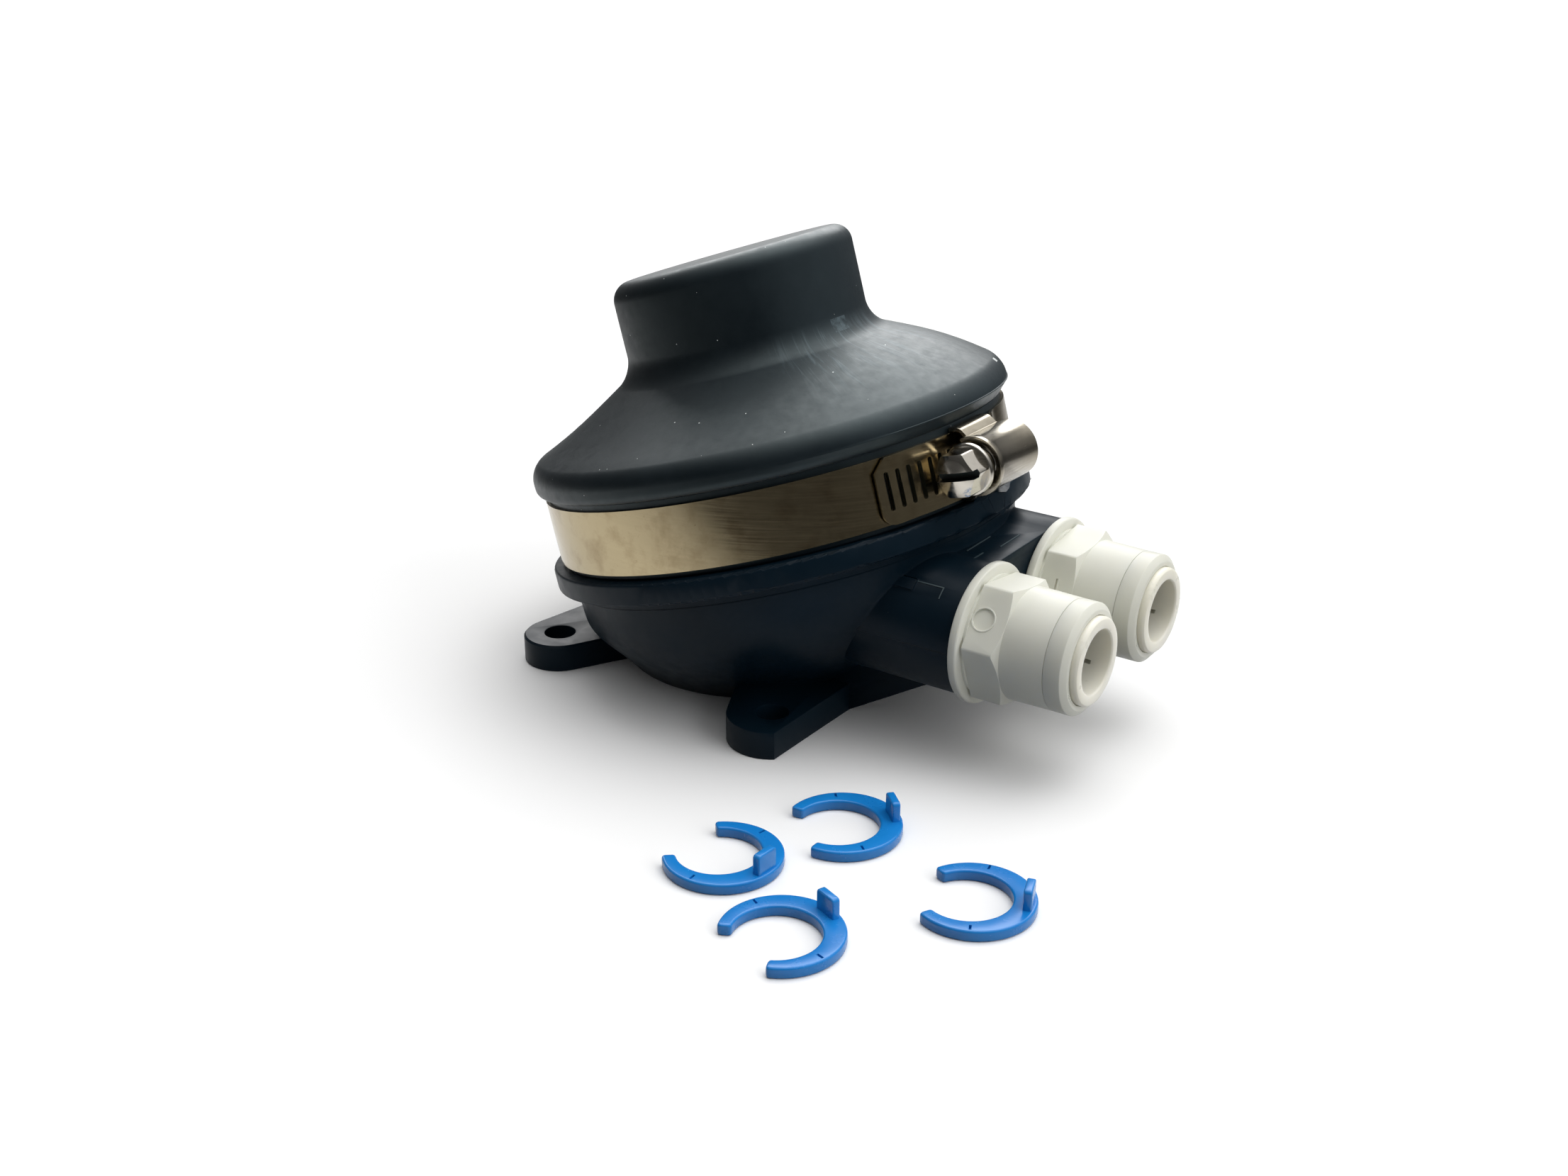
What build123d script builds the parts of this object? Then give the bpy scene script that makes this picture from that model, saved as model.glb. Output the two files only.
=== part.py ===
from build123d import *
from math import cos, radians, sin, sqrt, tan
import os

os.makedirs("parts", exist_ok=True)

# A foot-worked diaphragm pump: a rubber crown clamped over a wedge-shaped base by a worm-drive
# hose clip, with two ports side by side, each with a non-return valve and a push-fit adaptor.
# +X points out of the ports, +Z is up, and the origin is on the floor, midway between the lug holes.
# Sizes are in millimetres and angles in degrees.

# Clearances shared by many pieces
fit_gap = 0.05
slide_gap = 0.08
turn_gap = 0.3
cut_overrun = 1.0

# Clamp seat: the plane of the hose clip's lower edge, which leans back from the ports
seat_tilt = 16.0
seat_x = 8.75
seat_height = 34.16

# Hose clip band
band_radius = 48.0
band_thickness = 0.65
band_width = 12.7

# Rubber diaphragm, as radius and height above the clamp seat
skirt_wall = 2.7
rubber_wall = 3.2
crown_radius = 24.8
crown_height = 19.2
crown_top_wall = 4.0
crown_edge_round = 4.0
crown_neck_round = 6.5
cone_slope = 29.0
rim_overhang = 1.5
rim_depth = 5.51
rim_round = 4.6
rim_underside = 14.0
rim_under_round = 1.9
split_drop = 3.2

# Base moulding
base_wall = 2.6
base_floor = 3.0
foot_radius = 27.5
knee_radius = 33.3
knee_shift = 1.0
belly_radius = 42.0
belly_shift = 8.0
belly_height = 14.8
shoulder_step = 1.95
flange_overhang = 2.0
flange_thickness = 4.4
flange_gap = 1.2
flange_edge_round = 0.6
neck_wall = 3.0
neck_height = 11.5
neck_lip_round = 0.8
sole_recess_radius = 20.0
sole_pad_radius = 8.0
sole_recess_depth = 1.0

# Fixing lugs
lug_thickness = 5.8
lug_hole_radius = 3.25
lug_edge_chamfer = 0.4
low_lug_x = -29.2
low_lug_y = 29.9
low_lug_radius = 7.6
low_root_x = -23.0
low_root_y = 11.0
low_root_radius = 10.8
high_lug_x = 29.2
high_lug_y = 34.2
high_lug_radius = 9.0
high_root_x = 22.0
high_root_y = 12.0
high_root_radius = 12.7
lug_front_x = 34.75

# Port bosses
port_pitch = 28.0
port_height = 24.46
port_face_x = 63.6
boss_radius = 13.1
boss_step = 0.4
web_rise = 12.5
web_depth = 18.0
gusset_thickness = 3.0
gusset_reach = 20.0
gusset_rise = 12.0
pad_height = 0.25
pad_length = 9.5
pad_inset = 10.0
pad_start_angle = 44.0
pad_sweep = 11.0
throat_radius = 8.0
throat_end_x = 45.0
cage_bore_radius = 9.3
thread_radius = 10.5
thread_length = 12.0
seal_recess_radius = 12.0
seal_recess_depth = 1.6

# Non-return valves
cage_plate_start = 1.5
cage_plate_thickness = 2.2
cage_rim_wall = 1.3
valve_hole_radius = 1.5
valve_hole_circle = 4.4
valve_hole_count = 6
valve_disc_radius = 7.2
valve_disc_thickness = 1.4
valve_stem_radius = 1.5
valve_lift = 2.0
valve_bulb_radius = 2.4
valve_bulb_length = 2.0

# Push-fit adaptors
shank_gap = 0.1
shank_relief_length = 1.9
shank_relief_depth = 0.8
shank_pocket_radius = 8.3
shank_pocket_depth = 6.0
adaptor_flange_radius = 13.7
adaptor_flange_thickness = 1.8
adaptor_flange_round = 0.5
hex_groove_width = 0.5
hex_groove_radius = 11.6
hex_corner_radius = 12.7
hex_length = 6.1
hex_corner_angle = 8.0
hex_turn_between = 165.0
ejector_radius = 2.3
ejector_depth = 0.2
body_radius = 10.95
body_taper = 0.2
body_length = 9.7
cap_length = 4.3
cap_chamfer = 1.2
cap_chamfer_length = 0.95
cap_lip_length = 1.8
tube_radius = 6.0
tube_gap = 0.15
water_way_radius = 5.0
tube_stop_depth = 15.6
cassette_radius = 8.3
cassette_depth = 6.8
seal_section_radius = 1.15
spacer_length = 0.8
grip_length = 0.6
grip_tooth_reach = 0.05
grip_slot_count = 12
grip_slot_width = 0.6

# Collets
collet_wall = 0.85
collet_head_radius = 8.5
collet_head_length = 2.5
collet_head_round = 1.1
collet_travel = 1.3
collet_barb_reach = 0.9
collet_barb_length = 0.8
collet_slot_count = 6
collet_slot_width = 0.8

# Return spring, its tower and the insert in the crown
spring_radius = 11.5
spring_wire = 2.0
spring_turns = 9
tower_drop = 8.0
tower_radius = 14.5
tower_bore_radius = 6.0
spigot_radius = 9.8
spigot_height = 4.0
insert_wall = 4.0
insert_ceiling = 3.3
insert_lip = 1.3
insert_depth = 15.3

# Hose clip tail, housing and screw; angles go round the clamp seat from the port side
tail_end_angle = -31.7
housing_angle = -2.5
band_step_angle = 9.0
band_step_sweep = 3.0
band_end_angle = -4.0
tail_corner_round = 2.6
tail_gap = 0.05
slot_pitch_angle = 3.0
slot_first_angle = 2.7
slot_count = 11
slot_height = 6.8
slot_width = 1.05
worm_radius = 4.4
worm_core_radius = 3.4
worm_length = 12.2
worm_ridge_count = 6
worm_neck_radius = 2.7
worm_neck_length = 2.6
housing_head_reach = 7.5
housing_far_reach = 6.1
housing_ear_length = 10.5
housing_sheet = 0.8
housing_gap = 0.4
housing_wrap_angle = 112.0
housing_foot_reach = 1.2
collar_radius = 5.1
collar_thickness = 1.2
screw_hex_flat = 8.0
screw_hex_length = 5.2
screw_hex_chamfer = 0.6
screw_slot_width = 1.4
screw_slot_depth = 1.8

# Loose locking clips: centre on the floor and the way that the thumb tab faces
lock_outer_radius = 10.6
lock_inner_radius = 7.95
lock_inner_shift = 1.45
lock_thickness = 2.1
lock_mouth_half_angle = 42.0
lock_tip_round = 0.7
lock_edge_round = 0.35
tab_width = 4.7
tab_thickness = 1.5
tab_height = 3.7
lock_places = {
    "locking_clip_1": (60.0, -55.7, 48.0),
    "locking_clip_2": (48.8, -76.2, -3.0),
    "locking_clip_3": (70.7, -89.8, 69.0),
    "locking_clip_4": (90.9, -63.3, 20.0),
}

# The clamp seat's plane and axis, with places on it given as angle, radius and height
seat_plane = Plane(
    origin=(seat_x, 0, seat_height),
    x_dir=(cos(radians(seat_tilt)), 0, sin(radians(seat_tilt))),
    z_dir=(-sin(radians(seat_tilt)), 0, cos(radians(seat_tilt))),
)
seat_axis = Axis(seat_plane.origin, seat_plane.z_dir)
seat_section = Plane(origin=seat_plane.origin, x_dir=seat_plane.x_dir, z_dir=(0, -1, 0))


def seat_directions(angle):
    """Outward and along-the-band directions at an angle round the clamp seat."""
    turn = radians(angle)
    outward = seat_plane.x_dir * cos(turn) + seat_plane.y_dir * sin(turn)
    along = seat_plane.y_dir * cos(turn) - seat_plane.x_dir * sin(turn)
    return outward, along


def finish(piece, label):
    """Label a finished piece and write its file."""
    piece.part.label = label
    export_step(piece.part, f"parts/{label}.step")


def round_corner(sketch, corner, radius):
    """Round the corner of a sketch nearest to a place on its plane."""
    fillet(sketch.vertices().sort_by_distance(corner)[0], radius)


# Radii that follow from the band, from the outside in
flange_radius = band_radius + flange_overhang
rim_radius = band_radius + rim_overhang
skirt_radius = band_radius - band_thickness - fit_gap
neck_radius = skirt_radius - skirt_wall - fit_gap
shoulder_radius = neck_radius + shoulder_step
neck_bore_radius = neck_radius - neck_wall
flange_underside = -flange_gap - flange_thickness


def bowl_block(inset, floor):
    """The base's bowl, drawn in by an inset and starting at a floor height."""
    belly_tilt = radians(seat_tilt / 2)
    belly_plane = Plane(
        origin=(belly_shift, 0, belly_height),
        x_dir=(cos(belly_tilt), 0, sin(belly_tilt)),
        z_dir=(-sin(belly_tilt), 0, cos(belly_tilt)),
    )
    knee_plane = Plane.XY.offset(lug_thickness).shift_origin((knee_shift, 0, lug_thickness))
    with BuildPart() as bowl:
        with BuildSketch(Plane.XY.offset(floor)):
            Circle(foot_radius - inset)
        with BuildSketch(knee_plane):
            Circle(knee_radius - inset)
        with BuildSketch(belly_plane):
            Circle(belly_radius - inset)
        with BuildSketch(seat_plane.offset(flange_underside)):
            Circle(shoulder_radius - inset)
        loft()
    return bowl.part


def round_bar(plane, radius, length):
    """A plain round bar, standing on a plane."""
    with BuildPart() as bar:
        with BuildSketch(plane):
            Circle(radius)
        extrude(amount=length)
    return bar.part


# Base body: bowl, flange, neck, lugs, port bosses and spring tower in one moulding
outer_bowl = bowl_block(0, 0)
inner_bowl = bowl_block(base_wall, base_floor)
tower_limit = bowl_block(base_wall / 2, base_floor / 2)
tower_top = -tower_drop
tower_length = (seat_height + tower_top * cos(radians(seat_tilt))) / cos(radians(seat_tilt))
tower_length = tower_length + 2 * tower_radius * tan(radians(seat_tilt))
tower_block = round_bar(seat_plane.offset(tower_top - tower_length), tower_radius, tower_length)
tower_block = tower_block & tower_limit
port_sides = {"inlet": -1, "outlet": 1}
port_y = port_pitch / 2
boss_start_x = throat_end_x - throat_radius

# Fixing lugs: each is a round end joined to a wider root under the bowl
with BuildPart() as lugs:
    for side in (-1, 1):
        with BuildSketch():
            with Locations((low_lug_x, side * low_lug_y)):
                Circle(low_lug_radius)
            with Locations((low_root_x, side * low_root_y)):
                Circle(low_root_radius)
            make_hull()
        extrude(amount=lug_thickness)
        with BuildSketch():
            with Locations((high_lug_x, side * high_lug_y)):
                Circle(high_lug_radius)
            with Locations((high_root_x, side * high_root_y)):
                Circle(high_root_radius)
            make_hull()
            with Locations((lug_front_x, 0)):
                Rectangle(2 * high_lug_y, 4 * high_lug_y, align=(Align.MIN, Align.CENTER), mode=Mode.SUBTRACT)
        extrude(amount=lug_thickness)
    chamfer(lugs.faces().sort_by(Axis.Z)[-1].edges(), lug_edge_chamfer)

with BuildPart() as base_body:
    add(outer_bowl)
    # Port bosses, slightly fuller above their parting line, with a flat web between them
    for side in port_sides.values():
        with BuildSketch(Plane.YZ.offset(boss_start_x)):
            with Locations((side * port_y, port_height)):
                Circle(boss_radius - boss_step)
                Circle(boss_radius)
                with Locations((0, -boss_radius)):
                    Rectangle(2 * boss_radius, 2 * boss_radius, mode=Mode.SUBTRACT)
                Circle(boss_radius - boss_step)
        extrude(amount=port_face_x - boss_start_x)
        with BuildSketch(Plane.XZ.offset(-side * port_y)):
            with BuildLine():
                Polyline(
                    (lug_front_x, 0),
                    (lug_front_x + gusset_reach, gusset_rise),
                    (lug_front_x + gusset_reach, port_height),
                    (foot_radius - base_wall, port_height),
                    (foot_radius - base_wall, 0),
                    close=True,
                )
            make_face()
        extrude(amount=gusset_thickness / 2, both=True)
    with BuildSketch(Plane.YZ.offset(boss_start_x)):
        with Locations((0, port_height + web_rise)):
            Rectangle(port_pitch, web_depth, align=(Align.CENTER, Align.MAX))
    extrude(amount=port_face_x - boss_start_x)
    # Flange under the rubber and the neck that the rubber is clamped on
    with BuildSketch(seat_plane.offset(flange_underside)):
        Circle(flange_radius)
    extrude(amount=flange_thickness)
    flange_edges = base_body.edges().filter_by(GeomType.CIRCLE)
    flange_edges = flange_edges.filter_by(lambda edge: abs(edge.radius - flange_radius) < fit_gap)
    fillet(flange_edges, flange_edge_round)
    with BuildSketch(seat_plane.offset(flange_underside)):
        Circle(neck_radius)
    extrude(amount=neck_height - flange_underside)
    neck_edges = base_body.edges().filter_by(GeomType.CIRCLE)
    neck_edges = neck_edges.filter_by(lambda edge: abs(edge.radius - neck_radius) < fit_gap)
    fillet(neck_edges.sort_by(Axis.Z)[-1], neck_lip_round)
    add(lugs.part)
    # Hollow chamber, with the spring tower left standing in it
    add(inner_bowl, mode=Mode.SUBTRACT)
    with BuildSketch(seat_plane.offset(flange_underside - cut_overrun)):
        Circle(neck_bore_radius)
    extrude(amount=neck_height - flange_underside + 2 * cut_overrun, mode=Mode.SUBTRACT)
    add(tower_block)
    with BuildSketch(seat_plane.offset(tower_top)):
        Circle(spigot_radius)
    extrude(amount=spigot_height)
    with BuildSketch(seat_plane.offset(tower_top + spigot_height)):
        Circle(tower_bore_radius)
    extrude(amount=-2 * spigot_height - tower_drop, mode=Mode.SUBTRACT)
    # Port bores: throat, valve cage bore, thread and seal recess
    for side in port_sides.values():
        with BuildSketch(Plane(origin=(0, side * port_y, port_height), x_dir=(1, 0, 0), z_dir=(0, -1, 0))):
            with BuildLine():
                Polyline(
                    (boss_start_x - throat_radius, 0),
                    (boss_start_x - throat_radius, throat_radius),
                    (throat_end_x, throat_radius),
                    (throat_end_x, cage_bore_radius),
                    (port_face_x - thread_length, cage_bore_radius),
                    (port_face_x - thread_length, thread_radius),
                    (port_face_x - seal_recess_depth, thread_radius),
                    (port_face_x - seal_recess_depth, seal_recess_radius),
                    (port_face_x + cut_overrun, seal_recess_radius),
                    (port_face_x + cut_overrun, 0),
                    close=True,
                )
            make_face()
        revolve(axis=Axis((0, side * port_y, port_height), (1, 0, 0)), mode=Mode.SUBTRACT)
        # A raised pad on the boss, where the mould has its insert
        pad_turn = radians(pad_start_angle)
        pad_plane = Plane(
            origin=(port_face_x - pad_inset, side * port_y, port_height),
            x_dir=(1, 0, 0),
            z_dir=(0, -sin(pad_turn), side * cos(pad_turn)),
        )
        with BuildSketch(pad_plane):
            with Locations((0, boss_radius)):
                Rectangle(pad_length, 2 * pad_height, align=(Align.MAX, Align.CENTER))
        revolve(axis=Axis((0, side * port_y, port_height), (side, 0, 0)), revolution_arc=pad_sweep)
    # Fixing holes and the ring-shaped recess in the sole
    with BuildSketch():
        with Locations(
            (low_lug_x, -low_lug_y), (low_lug_x, low_lug_y), (high_lug_x, -high_lug_y), (high_lug_x, high_lug_y)
        ):
            Circle(lug_hole_radius)
    extrude(amount=lug_thickness + cut_overrun, mode=Mode.SUBTRACT)
    with BuildSketch():
        Circle(sole_recess_radius)
        Circle(sole_pad_radius, mode=Mode.SUBTRACT)
    extrude(amount=sole_recess_depth, mode=Mode.SUBTRACT)
finish(base_body, "base_body")

# Rubber diaphragm, in two pieces: the crown that the foot presses, and the skirt that flexes
slope = tan(radians(cone_slope))
cone_wall_drop = rubber_wall / cos(radians(cone_slope))
crown_bore_radius = crown_radius - rubber_wall
rim_top = rim_underside + rim_depth
crown_neck_height = rim_top + (rim_radius - crown_radius) * slope
crown_top = crown_neck_height + crown_height
split_height = crown_neck_height - split_drop
bead_top = crown_neck_height - (neck_bore_radius - crown_radius) * slope - cone_wall_drop
skirt_foot = -flange_gap + fit_gap
insert_top = crown_top - crown_top_wall - fit_gap
insert_foot = insert_top - insert_depth
lip_radius = crown_bore_radius - insert_lip
lip_foot = crown_neck_height + (crown_radius - lip_radius) * slope - cone_wall_drop
with BuildPart() as diaphragm:
    with BuildSketch(seat_section) as rubber_section:
        with BuildLine():
            Polyline(
                (0, crown_top),
                (crown_radius, crown_top),
                (crown_radius, crown_neck_height),
                (rim_radius, rim_top),
                (rim_radius, rim_underside),
                (skirt_radius, rim_underside),
                (skirt_radius, skirt_foot),
                (neck_radius + fit_gap, skirt_foot),
                (neck_radius + fit_gap, neck_height + fit_gap),
                (neck_bore_radius, neck_height + fit_gap),
                (neck_bore_radius, bead_top),
                (lip_radius, lip_foot),
                (lip_radius, insert_foot - fit_gap),
                (crown_bore_radius, insert_foot - fit_gap),
                (crown_bore_radius, insert_top + fit_gap),
                (0, insert_top + fit_gap),
                close=True,
            )
        make_face()
        round_corner(rubber_section, (crown_radius, crown_top), crown_edge_round)
        round_corner(rubber_section, (crown_radius, crown_neck_height), crown_neck_round)
        round_corner(rubber_section, (rim_radius, rim_top), rim_round)
        round_corner(rubber_section, (rim_radius, rim_underside), rim_under_round)
        round_corner(rubber_section, (neck_bore_radius, bead_top), rubber_wall)
    revolve(axis=seat_axis)

with BuildPart() as diaphragm_crown:
    add(diaphragm.part)
    split(bisect_by=seat_plane.offset(split_height), keep=Keep.TOP)
finish(diaphragm_crown, "diaphragm_crown")

with BuildPart() as diaphragm_skirt:
    add(diaphragm.part)
    split(bisect_by=seat_plane.offset(split_height - fit_gap), keep=Keep.BOTTOM)
finish(diaphragm_skirt, "diaphragm_skirt")

# Rigid insert held inside the crown, with a spigot that centres the spring
ceiling_height = insert_top - insert_ceiling
insert_radius = crown_bore_radius - fit_gap
with BuildPart() as crown_insert:
    with BuildSketch(seat_section):
        with BuildLine():
            Polyline(
                (0, insert_top),
                (insert_radius, insert_top),
                (insert_radius, insert_foot),
                (insert_radius - insert_wall, insert_foot),
                (insert_radius - insert_wall, ceiling_height),
                (spigot_radius, ceiling_height),
                (spigot_radius, ceiling_height - spigot_height),
                (0, ceiling_height - spigot_height),
                close=True,
            )
        make_face()
    revolve(axis=seat_axis)
finish(crown_insert, "crown_insert")

# Return spring between the tower and the insert, as one helical wire
spring_length = ceiling_height - tower_top - spring_wire
with BuildPart() as return_spring:
    spring_foot = seat_plane.offset(tower_top + spring_wire / 2).origin
    with BuildLine():
        coil = Helix(
            spring_length / spring_turns, spring_length, spring_radius, center=spring_foot, direction=seat_plane.z_dir
        )
    with BuildSketch(Plane(origin=coil @ 0, z_dir=coil % 0)):
        Circle(spring_wire / 2)
    sweep(path=coil, is_frenet=True)
finish(return_spring, "return_spring")

# Hose clip band: one strip that goes round the rubber, steps out and ends in the slotted tail
band_line_radius = band_radius - band_thickness / 2
tail_line_radius = band_line_radius + band_thickness + tail_gap
inner_start_angle = band_step_angle + band_step_sweep
with BuildPart() as clip_band:
    with BuildSketch(seat_plane):
        with BuildLine():
            tail_arc = CenterArc((0, 0), tail_line_radius, tail_end_angle, band_step_angle - tail_end_angle)
            ring_arc = CenterArc((0, 0), band_line_radius, inner_start_angle, 360 + band_end_angle - inner_start_angle)
            Line(tail_arc @ 1, ring_arc @ 0)
        trace(line_width=band_thickness)
    extrude(amount=band_width)
    for step in range(slot_count):
        slot_angle = tail_end_angle + slot_first_angle + step * slot_pitch_angle
        outward, along = seat_directions(slot_angle)
        slot_middle = seat_plane.origin + outward * tail_line_radius + seat_plane.z_dir * (band_width / 2)
        with BuildSketch(Plane(origin=slot_middle, x_dir=seat_plane.z_dir, z_dir=outward)):
            SlotOverall(slot_height, slot_width)
        extrude(amount=band_thickness / 2 + tail_gap / 2, both=True, mode=Mode.SUBTRACT)
    outward, along = seat_directions(tail_end_angle)
    tail_end = seat_plane.origin + outward * tail_line_radius
    corner_edges = clip_band.edges().filter_by(lambda edge: abs(edge.length - band_thickness) < fit_gap)
    fillet(corner_edges.sort_by_distance(tail_end)[0:1], tail_corner_round)
    corner_edges = clip_band.edges().filter_by(lambda edge: abs(edge.length - band_thickness) < fit_gap)
    tail_top = tail_end + seat_plane.z_dir * band_width
    fillet(corner_edges.sort_by_distance(tail_top)[0:1], tail_corner_round)
finish(clip_band, "clip_band")

# Hose clip housing: a formed saddle over the worm, with feet hooked on the band's edges
tail_radius = tail_line_radius + band_thickness / 2
screw_radius = tail_radius + turn_gap + worm_radius
barrel_radius = worm_radius + housing_gap + housing_sheet / 2
outward, along = seat_directions(housing_angle)
clip_middle = seat_plane.origin + seat_plane.z_dir * (band_width / 2)
housing_plane = Plane(origin=clip_middle, x_dir=outward, z_dir=-along)
foot_height = band_width / 2 + fit_gap + housing_sheet / 2
wrap = radians(housing_wrap_angle)
wrap_x = screw_radius + barrel_radius * cos(wrap)
wrap_y = barrel_radius * sin(wrap)
with BuildPart() as clip_housing:
    with BuildSketch(housing_plane.offset(-housing_far_reach)):
        with BuildLine():
            CenterArc((screw_radius, 0), barrel_radius, -housing_wrap_angle, 2 * housing_wrap_angle)
        trace(line_width=housing_sheet)
    extrude(amount=housing_far_reach + housing_head_reach)
    with BuildSketch(housing_plane):
        for side in (-1, 1):
            with BuildLine():
                FilletPolyline(
                    (band_radius - housing_sheet / 2, side * foot_height),
                    (tail_radius + housing_foot_reach, side * foot_height),
                    (wrap_x, side * wrap_y),
                    radius=housing_sheet,
                )
        trace(line_width=housing_sheet)
    extrude(amount=housing_ear_length / 2, both=True)
finish(clip_housing, "clip_housing")

# Hose clip screw: worm, neck, collar and slotted hexagon head, along the band
screw_origin = clip_middle + outward * screw_radius
screw_section = Plane(origin=screw_origin, x_dir=-along, z_dir=seat_plane.z_dir)
screw_axis = Axis(screw_origin, -along)
worm_pitch = worm_length / worm_ridge_count
collar_start = worm_length / 2 + worm_neck_length
hex_start = collar_start + collar_thickness
hex_end = hex_start + screw_hex_length
hex_corner = screw_hex_flat / sqrt(3)
worm_outline = []
for ridge in range(worm_ridge_count):
    ridge_start = -worm_length / 2 + ridge * worm_pitch
    worm_outline.append((ridge_start, worm_core_radius))
    worm_outline.append((ridge_start + worm_pitch / 3, worm_radius))
    worm_outline.append((ridge_start + worm_pitch / 2, worm_radius))
    worm_outline.append((ridge_start + worm_pitch * 5 / 6, worm_core_radius))
with BuildPart() as clip_screw:
    with BuildSketch(screw_section):
        with BuildLine():
            Polyline(
                (-worm_length / 2, 0),
                *worm_outline,
                (worm_length / 2, worm_core_radius),
                (worm_length / 2, worm_neck_radius),
                (collar_start, worm_neck_radius),
                (collar_start, collar_radius),
                (hex_start, collar_radius),
                (hex_start, 0),
                close=True,
            )
        make_face()
    revolve(axis=screw_axis)
    with BuildSketch(Plane(origin=screw_origin - along * hex_start, x_dir=outward, z_dir=-along)):
        RegularPolygon(hex_corner, 6)
    extrude(amount=screw_hex_length)
    # The head's corners are turned off to a cone
    with BuildSketch(screw_section, mode=Mode.PRIVATE) as corner_cut:
        with BuildLine():
            Polyline(
                (hex_end - screw_hex_chamfer, hex_corner),
                (hex_end, screw_hex_flat / 2 - screw_hex_chamfer / 2),
                (hex_end, hex_corner),
                close=True,
            )
        make_face()
    revolve(corner_cut.sketch, axis=screw_axis, mode=Mode.SUBTRACT)
    with BuildSketch(Plane(origin=screw_origin - along * hex_end, x_dir=outward, z_dir=along)):
        Rectangle(screw_slot_width, 3 * hex_corner, rotation=90)
    extrude(amount=screw_slot_depth, mode=Mode.SUBTRACT)
finish(clip_screw, "clip_screw")

# Places along each port, measured on X from the base outwards
cage_start = throat_end_x
cage_end = port_face_x - thread_length
plate_start = cage_start + cage_plate_start
plate_end = plate_start + cage_plate_thickness
flange_back = port_face_x + fit_gap
hex_back = flange_back + adaptor_flange_thickness + hex_groove_width
body_start = hex_back + hex_length
cap_start = body_start + body_length
cap_end = cap_start + cap_length
cassette_start = cap_start - cassette_depth
tube_stop_x = cap_end - tube_stop_depth
tube_bore_radius = tube_radius + tube_gap
tube_seal_x = cassette_start + seal_section_radius
spacer_start = cassette_start + 2 * seal_section_radius + fit_gap
grip_start = spacer_start + spacer_length + fit_gap
collet_radius = tube_bore_radius + collet_wall
lip_bore_radius = collet_radius + slide_gap
collet_head_start = cap_start + cap_lip_length + collet_travel + slide_gap
collet_end = collet_head_start + collet_head_length
barb_end = cap_start - slide_gap
barb_start = barb_end - collet_barb_length
cage_radius = cage_bore_radius - fit_gap

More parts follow.
